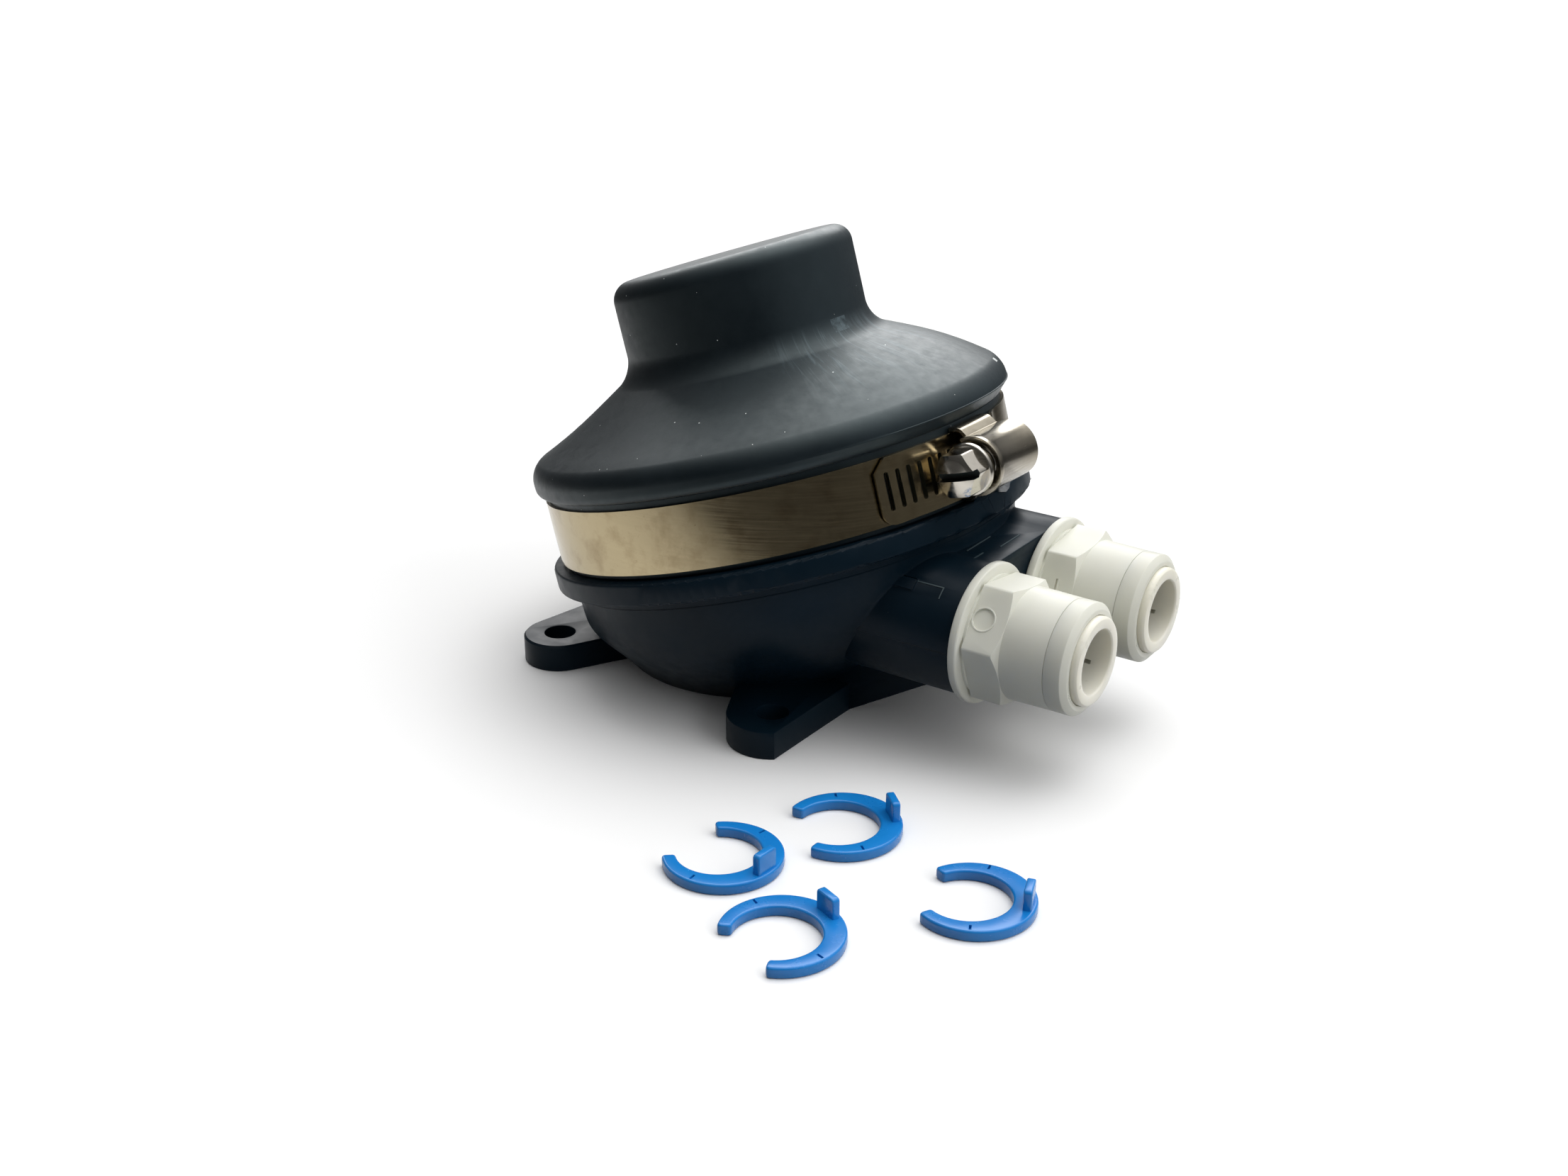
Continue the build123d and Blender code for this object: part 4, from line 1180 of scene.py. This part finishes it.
    def head(self) -> BMesh:
        """Make the screw's domed hexagon head, with a groove for a flat driver.

        Returns:
            A closed mesh along the screw, whose groove has material index 1, for its painted shade.
        """
        hexagon = prism(6, self.hexagon_across / math.sqrt(3), self.head_start, self.head_end)
        bevel_edges(hexagon, upright_edges(hexagon), 0.25, 2)
        piece = to_object(hexagon, "hexagon")
        dome = ((0, 9.0), (6.0, 9.0), (6.0, 13.0), (4.0, 14.5), (0, self.head_end))
        combine(piece, [lathe(dome, {2: 1.5, 3: 4.0}, closed=False, steps=72)], Cut.KEEP_COMMON)
        half = self.groove_half
        combine(piece, [block((-8, -half, self.groove_floor), (8, half, 17))], Cut.REMOVE)
        # The groove's walls and floor take material index 1, a painted shade
        for face in piece.data.polygons:
            face.material_index = int(self.in_groove(face.center, face.normal))
        return take_mesh(piece)

    def build_screw(self) -> Object:
        """Make the screw: worm, neck, collar and head.

        Returns:
            The dressed piece.
        """
        reach, low, high = self.worm_reach, self.shaft_radius, self.worm_radius
        pitch = reach / (self.worm_ridges / 2)
        ridges = []
        for ridge in range(self.worm_ridges):
            start = ridge * pitch - reach
            ridges += [(low, start), (high, start + pitch / 3), (high, start + pitch / 2),
                       (low, start + pitch * 5 / 6)]
        shaft = (
            (0, -reach), *ridges, (low, reach),
            (self.neck_radius, reach), (self.neck_radius, self.collar_start),
            (self.collar_radius, self.collar_start), (self.collar_radius, self.collar_end),
            (self.foot_radius, self.collar_end), (self.foot_radius, self.foot_end), (0, self.foot_end),
        )
        rim = len(ridges) + 4
        mesh = lathe(shaft, {rim: 0.35, rim + 1: 0.35}, closed=False, steps=72)
        piece = to_object(mesh, "hose_clip_screw")
        combine(piece, [self.head()], Cut.JOIN)
        centre = Matrix.Translation((self.screw_radius, 0, self.band_width / 2))
        along = centre @ Matrix(((1, 0, 0), (0, 0, -1), (0, 1, 0))).to_4x4()
        place = SEAT.place(self.housing_turn) @ along
        # The screw's groove gets the painted shade as its second material
        finish_piece(piece, place, SCREW_STEEL, ("clip_screw",), edge_width=0.12, edge_angle=28.0,
                     segments=2, inside=(GROOVE_PAINTED_SHADE,))
        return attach(piece, Body.SCREW.value)


@dataclass(frozen=True)
class PushFit:
    """Push-fit adaptor of one port, with its end cap and collet, measured from the row frame's YZ plane."""

    name: str
    side: Side
    hex_turn: float
    mark_along: float
    glue: tuple[Point, ...]
    collet_body: Body
    shank_start: float = 51.65
    shank_radius: float = 10.4
    groove_start: float = 61.75
    groove_radius: float = 9.6
    flange_start: float = 63.65
    flange_end: float = 65.45
    flange_radius: float = 13.7
    shoulder_radius: float = 11.6
    hex_start: float = 65.95
    hex_end: float = 72.95
    hex_radius: float = 12.7
    mark_radius: float = 2.1
    mark_reach: float = 11.0
    body_start: float = 72.05
    body_end: float = 81.7
    body_radius: float = 10.95
    bore_radius: float = 8.3
    passage_start: float = 57.65
    passage_radius: float = 5.0
    tube_stop: float = 70.45
    tube_radius: float = 6.15
    seal_seat: float = 74.95
    cap_start: float = 81.75
    cap_edge: float = 85.1
    cap_end: float = 86.05
    cap_ledge: float = 83.55
    cap_radius: float = 10.75
    cap_face: float = 9.55
    cap_bore: float = 8.58
    sleeve_bore: float = 7.08
    barb_start: float = 80.87
    barb_end: float = 81.67
    barb_radius: float = 7.9
    sleeve_radius: float = 7.0
    head_start: float = 84.93
    head_end: float = 87.43
    head_radius: float = 8.5
    slit_half: float = 0.4

    def nut(self) -> BMesh:
        """Make the hexagon.

        Returns:
            A closed ring along the port.
        """
        hexagon = prism(6, self.hex_radius, self.hex_start, self.hex_end, self.hex_turn)
        bevel_edges(hexagon, upright_edges(hexagon), 0.35)
        piece = to_object(hexagon, "nut")
        # The far corners are turned down to a cone, so each flat runs out in a curve
        cone = ((0, 65.0), (14.2, 65.0), (14.2, 71.3), (10.6, 73.1), (0, 73.1))
        combine(piece, [lathe(cone, closed=False, steps=144)], Cut.KEEP_COMMON)
        combine(piece, [prism(72, 8.9, 64.0, 75.0)], Cut.REMOVE)
        return take_mesh(piece)

    def marks(self) -> list[tuple[BMesh, Cut]]:
        """Make what the mould leaves on one of the hexagon's flats.

        Returns:
            Closed meshes along the port, and how each changes the adaptor.
        """
        if self.side is Side.INLET:
            # Ejector mark with a fine raised rim
            inner, outer = self.mark_radius, self.mark_radius + 0.3
            rim = ((inner, -0.5), (inner, 0.14), (outer, 0.14), (outer, -0.5))
            raised = lathe(rim, {1: 0.06, 2: 0.06}, steps=64)
            sunk = prism(64, inner, -0.25, 1.0)
        else:
            # Short slit left by a mould blade, below a fine raised lip
            raised = block((-0.55, -1.6, -0.3), (-0.3, 1.6, 0.16))
            sunk = block((-0.3, -1.5, -0.35), (0.1, 1.5, 1.0))
        flat = out_from_axis(self.hex_turn + 30, self.mark_reach, self.mark_along)
        for mesh in (raised, sunk):
            move_mesh(mesh, flat @ Matrix.Rotation(math.pi / 2, 4, "Y"))
        return [(raised, Cut.JOIN), (sunk, Cut.REMOVE)]

    def build_adaptor(self) -> Object:
        """Make the adaptor: shank, flange, groove, hexagon and body.

        Returns:
            The dressed piece.
        """
        points = (
            (self.bore_radius, self.shank_start), (self.shank_radius, self.shank_start),
            (self.shank_radius, self.groove_start), (self.groove_radius, self.groove_start),
            (self.groove_radius, self.flange_start), (self.flange_radius, self.flange_start),
            (self.flange_radius, self.flange_end), (self.shoulder_radius, self.flange_end),
            (self.shoulder_radius, self.hex_start), (self.body_radius, self.hex_start),
            (self.body_radius, self.body_start), (self.cap_radius, self.body_end),
            (self.bore_radius, self.body_end), (self.bore_radius, self.seal_seat),
            (self.tube_radius, self.seal_seat), (self.tube_radius, self.tube_stop),
            (self.passage_radius, self.tube_stop), (self.passage_radius, self.passage_start),
            (self.bore_radius, self.passage_start),
        )
        mesh = lathe(points, {5: 0.5, 6: 0.5, 11: 0.15}, steps=144)
        piece = to_object(mesh, f"{self.name}_push_fit_adaptor")
        combine(piece, [self.nut()], Cut.JOIN)
        for tool, cut in self.marks():
            combine(piece, [tool], cut)
        finish_piece(piece, port_place(self.side), WHITE_ACETAL, (f"{self.name}_adaptor",),
                     edge_angle=24.0)
        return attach(piece, Body.BASE.value)

    def build_cap(self) -> Object:
        """Make the end cap, with a few beads of glue where it meets the collet.

        Returns:
            The dressed piece.
        """
        points = (
            (self.sleeve_bore, self.cap_start), (self.cap_radius, self.cap_start),
            (self.cap_radius, self.cap_edge), (self.cap_face, self.cap_end),
            (self.cap_bore, self.cap_end), (self.cap_bore, self.cap_ledge),
            (self.sleeve_bore, self.cap_ledge),
        )
        mesh = lathe(points, {1: 0.15, 2: 0.25, 3: 0.25, 4: 0.15}, steps=144)
        piece = to_object(mesh, f"{self.name}_end_cap_ring")
        for turn, radius in self.glue:
            bead = bmesh.new()
            bmesh.ops.create_icosphere(bead, subdivisions=3, radius=radius)
            # A bead is longer round the cap and lies low on it
            place = out_from_axis(turn, 9.1, self.cap_end) @ Matrix.Diagonal((1.0, 1.5, 0.7, 1.0))
            move_mesh(bead, place)
            combine(piece, [bead], Cut.JOIN)
        finish_piece(piece, port_place(self.side), WHITE_ACETAL, (f"{self.name}_end_cap",),
                     edge_angle=30.0)
        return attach(piece, Body.BASE.value)

    def build_collet(self) -> Object:
        """Make the collet: a slotted sleeve with barbs and a rounded head.

        Returns:
            The dressed piece.
        """
        points = (
            (self.tube_radius, self.barb_start), (self.sleeve_radius, self.barb_start),
            (self.barb_radius, self.barb_end), (self.sleeve_radius, self.barb_end),
            (self.sleeve_radius, self.head_start), (self.head_radius, self.head_start),
            (self.head_radius, self.head_end), (self.tube_radius, self.head_end),
        )
        mesh = lathe(points, {5: 0.2, 6: 0.7, 7: 0.45}, steps=120)
        piece = to_object(mesh, f"{self.name}_collet_sleeve")
        # Three cuts right across make six slits, which end level with the cap's ledge
        for turn in (0, 60, 120):
            slit = block((-10, -self.slit_half, 80.0), (10, self.slit_half, self.cap_ledge))
            turn_mesh(slit, turn)
            combine(piece, [slit], Cut.REMOVE)
        finish_piece(piece, port_place(self.side), COLLET_ACETAL, (f"{self.name}_collet",),
                     edge_angle=30.0)
        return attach(piece, self.collet_body.value)


@dataclass(frozen=True)
class LockingClip:
    """Loose blue clip that keeps a collet out: an open ring with an upright thumb tab."""

    number: int
    x: float
    y: float
    turn: float
    outer_radius: float = 10.6
    inner_radius: float = 7.5
    inner_shift: float = 1.0
    edge_round: float = 0.45
    tip_round: float = 0.6
    thickness: float = 2.1
    mouth: float = 42.0
    tab_width: float = 4.7
    tab_thickness: float = 1.5
    tab_height: float = 3.7
    nick_half: float = 0.22
    nick_depth: float = 0.6
    nick_turn: float = 84.0

    def section(self, turn: float, inset: float) -> list[Place]:
        """Rounded outline of the ring where a half plane through its axis cuts it.

        Args:
            turn: Angle of the half plane from the tab, in radians.
            inset: Distance by which the outline is drawn in all round, near a tip.

        Returns:
            Corners of the outline.
        """
        bore = math.sqrt(self.inner_radius ** 2 - (self.inner_shift * math.sin(turn)) ** 2)
        rounding = self.edge_round
        inner = bore - self.inner_shift * math.cos(turn) + inset + rounding
        outer = self.outer_radius - inset - rounding
        low, high = 0.5 * inset + rounding, self.thickness - 0.5 * inset - rounding
        points = []
        for quarter, (reach, level) in enumerate(((outer, high), (inner, high), (inner, low), (outer, low))):
            for step in range(5):
                angle = math.radians(90 * quarter + 22.5 * step)
                radius = reach + rounding * math.cos(angle)
                height = level + rounding * math.sin(angle)
                points.append((radius * math.cos(turn), radius * math.sin(turn), height))
        return points

    def ring(self) -> BMesh:
        """Make the open ring, thicker beside the tab, with rounded tips and edges.

        Returns:
            A closed mesh.
        """
        mesh = bmesh.new()
        last = math.pi - math.radians(self.mouth)
        # Near a tip the outline is drawn in along a quarter of a circle
        ends = []
        for step in range(6):
            turn = math.radians(90 / 5 * step)
            back = self.tip_round * (1 - math.sin(turn)) / self.outer_radius
            ends.append((last - back, self.tip_round * (1 - math.cos(turn))))
        stations = [(-turn, inset) for turn, inset in reversed(ends)]
        middle = ends[0][0]
        stations += [(-middle + 2 * middle * step / 72, 0.0) for step in range(1, 72)]
        stations += ends
        loops = [[mesh.verts.new(co) for co in self.section(turn, inset)] for turn, inset in stations]
        for first, second in zip(loops, loops[1:]):
            for index, vertex in enumerate(first):
                after = (index + 1) % len(first)
                mesh.faces.new((vertex, second[index], second[after], first[after]))
        mesh.faces.new(loops[0])
        mesh.faces.new(list(reversed(loops[-1])))
        close_up(mesh)
        return mesh

    def tab(self) -> BMesh:
        """Make the thumb tab, with rounded upper corners.

        Returns:
            A closed mesh.
        """
        middle = self.outer_radius - self.tab_thickness
        half = self.tab_thickness / 2
        low = (middle - half, -self.tab_width / 2, 0.5)
        high = (middle + half, self.tab_width / 2, self.thickness + self.tab_height)
        mesh = block(low, high)
        upper = [edge for edge in mesh.edges if all(vertex.co.z > self.thickness for vertex in edge.verts)]
        corners = [edge for edge in upper if abs(edge.verts[0].co.x - edge.verts[1].co.x) > 1]
        bevel_edges(mesh, corners, 0.7, 4)
        rest = [edge for edge in mesh.edges if edge.calc_face_angle(0.0) > math.radians(60)]
        bevel_edges(mesh, rest, 0.3, 3)
        return mesh

    def nick(self, side: int) -> BMesh:
        """Make a cutter for one of the two nicks in the ring's top.

        Args:
            side: -1 or 1, for the side of the tab.

        Returns:
            A closed mesh.
        """
        low = (self.inner_radius + 1.2, -self.nick_half, self.thickness - self.nick_depth)
        high = (self.outer_radius - 0.5, self.nick_half, self.thickness + 1)
        mesh = block(low, high)
        turn_mesh(mesh, side * self.nick_turn)
        return mesh

    def build(self) -> Object:
        """Make the clip.

        Returns:
            The dressed piece.
        """
        piece = to_object(self.ring(), f"blue_locking_clip_{self.number}")
        combine(piece, [self.tab()], Cut.JOIN)
        combine(piece, [self.nick(side) for side in (-1, 1)], Cut.REMOVE)
        place = Matrix.Translation((self.x, self.y, 0)) @ Matrix.Rotation(math.radians(self.turn), 4, "Z")
        node = f"locking_clip_{self.number}"
        finish_piece(piece, place, BLUE_POLYPROPYLENE, (node,), edge_angle=50.0)
        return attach(piece, node)


@dataclass(frozen=True)
class BaseMoulding:
    """Lugged base with its bowl, flange, bosses and web, and the fine lines that its mould leaves."""

    edge_width: float = 0.28
    boss_radius: float = 13.1
    web_top: float = 37.0
    bowl_radius: float = 46.32
    bowl_level: float = -7.5
    line_out: float = 0.1

    def boss_line(self, start: float, end: float, low: float, high: float) -> BMesh:
        """A raised line on the inlet's boss.

        Args:
            start: Angle at which it begins, from the top towards the inlet's side, in degrees.
            end: Angle at which it ends.
            low: Distance at which it begins, out along the port.
            high: Distance at which it ends.

        Returns:
            A closed mesh in the row frame.
        """
        mesh = bmesh.new()
        inner, outer = self.boss_radius - 0.3, self.boss_radius + self.line_out
        face = start_face(mesh, ((inner, 0, low), (outer, 0, low), (outer, 0, high), (inner, 0, high)))
        turn_mesh(mesh, start)
        bmesh.ops.spin(mesh, geom=face, axis=(0, 0, 1), cent=(0, 0, 0), angle=math.radians(end - start),
                       steps=max(1, round((end - start) / 2)))
        close_up(mesh)
        move_mesh(mesh, port_place(Side.INLET))
        bmesh.ops.recalc_face_normals(mesh, faces=mesh.faces[:])
        return mesh

    def mould_lines(self) -> list[BMesh]:
        """Make the lines on the inlet's boss, on the web and round the bowl under the flange.

        Returns:
            Closed meshes in the row frame, of which all but the bowl's have material index 1, the painted
            highlight.
        """
        lines = [self.boss_line(36.2, 37.2, 50.3, 59.4), self.boss_line(36.2, 47.0, 59.2, 59.4)]
        # Three lines on the web, each from its lowest to its highest X and Y
        on_web = (((59.0, -15.9), (59.2, -7.1)), ((56.0, -8.0), (56.2, 1.0)), ((60.2, -2.6), (60.4, 5.0)))
        for low, high in on_web:
            lines.append(block((*low, self.web_top - 0.5), (*high, self.web_top + self.line_out)))
        # The lines on the boss and web take material index 1, which paints them pale as a highlight
        for line in lines:
            for face in line.faces:
                face.material_index = 1
        inner, outer, level = self.bowl_radius - 1.32, self.bowl_radius + self.line_out, self.bowl_level
        section = ((inner, level - 0.1), (outer, level - 0.08), (outer, level + 0.06), (inner, level + 0.1))
        ring = lathe(section, steps=120)
        move_mesh(ring, SEAT.place())
        return [*lines, ring]

    def build(self) -> Object:
        """Round the sharp edges of a merged copy of the moulding and add its lines.

        Returns:
            The dressed piece.
        """
        mesh = bmesh.new()
        mesh.from_mesh(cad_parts["base_body"].data)
        bmesh.ops.scale(mesh, verts=mesh.verts[:], vec=(1000, 1000, 1000))
        bmesh.ops.remove_doubles(mesh, verts=mesh.verts[:], dist=0.002)
        bmesh.ops.dissolve_limit(mesh, angle_limit=math.radians(0.5), verts=mesh.verts[:],
                                 edges=mesh.edges[:])
        piece = to_object(mesh, "base_moulding")
        rounded = piece.modifiers.new("edges", "BEVEL")
        rounded.width, rounded.segments, rounded.use_clamp_overlap = self.edge_width, 2, False
        rounded.limit_method, rounded.angle_limit = "ANGLE", math.radians(60)
        settle(piece)
        combine(piece, self.mould_lines(), Cut.JOIN)
        finish_piece(piece, Matrix.Identity(4), BLACK_ABS, ("base_body",), edge_angle=30.0,
                     inside=(HIGHLIGHT_LINE_ABS,))
        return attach(piece, Body.BASE.value)


HIDDEN_FINISHES: Mapping[str, Finish] = {
    "crown_insert": INSERT_NYLON,
    "valve_cage": CAGE_ACETAL,
    "valve": VALVE_SILICONE,
    "face_seal": SEAL_NITRILE,
    "tube_seal": SEAL_NITRILE,
    "spacer_ring": CAGE_ACETAL,
    "grip_ring": GRIP_STEEL,
}


def dress_hidden_nodes() -> None:
    """Give the CAD nodes inside the pump their materials."""
    for node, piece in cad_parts.items():
        finish = HIDDEN_FINISHES.get(node.removeprefix("inlet_").removeprefix("outlet_"))
        if finish:
            piece.data.materials.clear()
            piece.data.materials.append(material_of(finish))
            log.info("%s keeps its shape and gets %s", node, finish.common_name)


@dataclass(frozen=True)
class Studio:
    """Pale floor, soft light from behind and from the right, and a room that is dark towards the camera."""

    azimuth: float = 35.16
    elevation: float = 23.29
    distance: float = 396.68
    sideways: float = -0.68
    rise: float = 13.56
    lens: float = 42.38
    sensor: float = 36.0
    side_direction: Place = (0.93, 0.1, 0.28)
    side_strength: float = 1.4
    side_angle: float = 60.0
    sheen_direction: Place = (-0.5, 0.7, 0.56)
    sheen_strength: float = 2.4
    sheen_angle: float = 52.0
    sky_axis: Place = (0.05, 0.3, 0.95)
    sky_levels: tuple[Point, ...] = ((0.0, 0.01), (0.5, 0.02), (0.65, 0.04), (0.8, 0.1), (0.9, 0.3),
                                     (0.96, 0.7), (1.0, 1.0))
    sky_strength: float = 3.4
    paper_white: float = 0.97
    paper_bounce: float = 0.24
    paper_dark: float = 0.06
    paper_extent: Point = (120.0, 330.0)

    def build_camera(self) -> None:
        """Set the camera at the photograph's viewing angle."""
        turn, lift = math.radians(self.azimuth), math.radians(self.elevation)
        back = Vector((math.sin(turn) * math.cos(lift), -math.cos(turn) * math.cos(lift), math.sin(lift)))
        right = Vector((math.cos(turn), math.sin(turn), 0))
        up = back.cross(right)
        spot = back * self.distance + right * self.sideways + up * self.rise + Vector((SEAT.forward, 0, 0))
        data = bpy.data.cameras.new("camera")
        data.lens, data.sensor_width = self.lens, self.sensor
        data.clip_start, data.clip_end = 0.01, 50.0
        camera = bpy.data.objects.new("camera", data)
        facing = Matrix((right, up, back)).transposed().to_4x4()
        camera.matrix_world = Matrix.Translation(spot * mm(1)) @ facing
        bpy.context.scene.collection.objects.link(camera)
        bpy.context.scene.camera = camera

    def build_floor(self) -> None:
        """Lay the floor."""
        mesh = bmesh.new()
        bmesh.ops.create_grid(mesh, x_segments=1, y_segments=1, size=8.0)
        floor = to_object(mesh, "floor")
        material, tree, shader, place = start_material("Paper, matt white sweep")
        fibre = add_node(tree, "ShaderNodeTexNoise", {"Scale": per_mm(0.6), "Detail": 2.0}, {"Vector": place})
        bump = add_node(tree, "ShaderNodeBump", {"Strength": 0.2, "Distance": mm(0.01)},
                        {"Height": fibre.outputs["Fac"]})
        # The paper is white to the camera and in gloss, and throws little light back on the pump. In gloss it
        # fades out between the two distances of its extent, where the room's dark begins
        near, far = self.paper_extent
        away = add_node(tree, "ShaderNodeVectorMath", {"operation": "LENGTH"}, {0: place})
        extent = add_node(tree, "ShaderNodeMapRange", {"From Min": mm(near), "From Max": mm(far),
                                                       "To Min": self.paper_white, "To Max": self.paper_dark},
                          {"Value": away.outputs["Value"]})
        path = add_node(tree, "ShaderNodeLightPath").outputs
        mirrored = add_node(tree, "ShaderNodeMath", {"operation": "MAXIMUM"},
                            {0: path["Is Glossy Ray"], 1: path["Is Transmission Ray"]})
        bounced = add_node(tree, "ShaderNodeMix", {"data_type": "RGBA", 6: grey(self.paper_bounce)},
                           {0: mirrored.outputs[0], 7: extent.outputs["Result"]})
        tone = add_node(tree, "ShaderNodeMix", {"data_type": "RGBA", 7: grey(self.paper_white)},
                        {0: path["Is Camera Ray"], 6: bounced.outputs[2]})
        tree.links.new(tone.outputs[2], shader.inputs["Base Color"])
        tree.links.new(bump.outputs["Normal"], shader.inputs["Normal"])
        shader.inputs["Roughness"].default_value = 0.9
        shader.inputs["Specular IOR Level"].default_value = 0.0
        floor.data.materials.append(material)

    def build_lamp(self, name: str, direction: Place, strength: float, angle: float) -> Object:
        """Hang a soft lamp far away.

        Args:
            name: Name of the lamp.
            direction: Way from the pump to the lamp.
            strength: Light that falls on a face that looks at the lamp.
            angle: Width of the lamp as the pump sees it, in degrees.

        Returns:
            The lamp.
        """
        data = bpy.data.lights.new(name, "SUN")
        data.energy, data.angle = strength, math.radians(angle)
        lamp = bpy.data.objects.new(name, data)
        lamp.rotation_euler = Vector(direction).to_track_quat("Z", "Y").to_euler()
        bpy.context.scene.collection.objects.link(lamp)
        return lamp

    def build_light(self) -> None:
        """Set the two lamps, and a room that is light overhead and dark in front."""
        side = self.build_lamp("side", self.side_direction, self.side_strength, self.side_angle)
        side.visible_glossy = False
        # The second lamp is a pale screen behind the pump, which shows only as gloss
        screen = self.build_lamp("screen", self.sheen_direction, self.sheen_strength, self.sheen_angle)
        screen.visible_diffuse = False
        world = bpy.data.worlds.new("room")
        bpy.context.scene.world = world
        world.use_nodes = True
        tree = world.node_tree
        tree.nodes.clear()
        way = add_node(tree, "ShaderNodeTexCoord").outputs["Generated"]
        axis = tuple(Vector(self.sky_axis).normalized())
        lightness = add_node(tree, "ShaderNodeVectorMath", {"operation": "DOT_PRODUCT", 1: axis}, {0: way})
        shift = add_node(tree, "ShaderNodeMapRange", {"From Min": -1.0, "From Max": 1.0},
                         {"Value": lightness.outputs["Value"]})
        stops = tuple((position, grey(level)) for position, level in self.sky_levels)
        shade = add_node(tree, "ShaderNodeValToRGB", {"stops": stops}, {"Fac": shift.outputs["Result"]})
        room = add_node(tree, "ShaderNodeBackground", {"Strength": self.sky_strength},
                        {"Color": shade.outputs["Color"]})
        backdrop = add_node(tree, "ShaderNodeBackground", {"Color": grey(1.0), "Strength": 1.0})
        path = add_node(tree, "ShaderNodeLightPath")
        mix = add_node(tree, "ShaderNodeMixShader",
                       links={0: path.outputs["Is Camera Ray"], 1: room.outputs[0], 2: backdrop.outputs[0]})
        add_node(tree, "ShaderNodeOutputWorld", links={"Surface": mix.outputs[0]})
        bpy.context.scene.view_settings.view_transform = "Standard"


def main() -> None:
    """Build the pump's sub-assemblies and the studio in order."""
    logging.basicConfig(level=logging.INFO, format="%(message)s")
    clip = HoseClip()
    pieces = [BaseMoulding().build(), Diaphragm().build(), ReturnSpring().build(), clip.build_band(),
              clip.build_housing(), clip.build_screw()]
    inlet_glue = ((118.0, 0.26), (113.0, 0.18), (125.0, 0.2))
    outlet_glue = ((104.0, 0.2), (121.0, 0.24))
    for fitting in (PushFit("inlet", Side.INLET, 22.0, 68.3, inlet_glue, Body.INLET_COLLET),
                    PushFit("outlet", Side.OUTLET, 37.0, 69.2, outlet_glue, Body.OUTLET_COLLET)):
        pieces += [fitting.build_adaptor(), fitting.build_cap(), fitting.build_collet()]
    for number, (x, y, turn) in enumerate(CLIP_PLACES, start=1):
        pieces.append(LockingClip(number, x, y, turn).build())
    dress_hidden_nodes()
    studio = Studio()
    studio.build_camera()
    studio.build_floor()
    studio.build_light()
    for piece in pieces:
        log.info("built %s", piece.name)


if __name__ == "__main__":
    main()
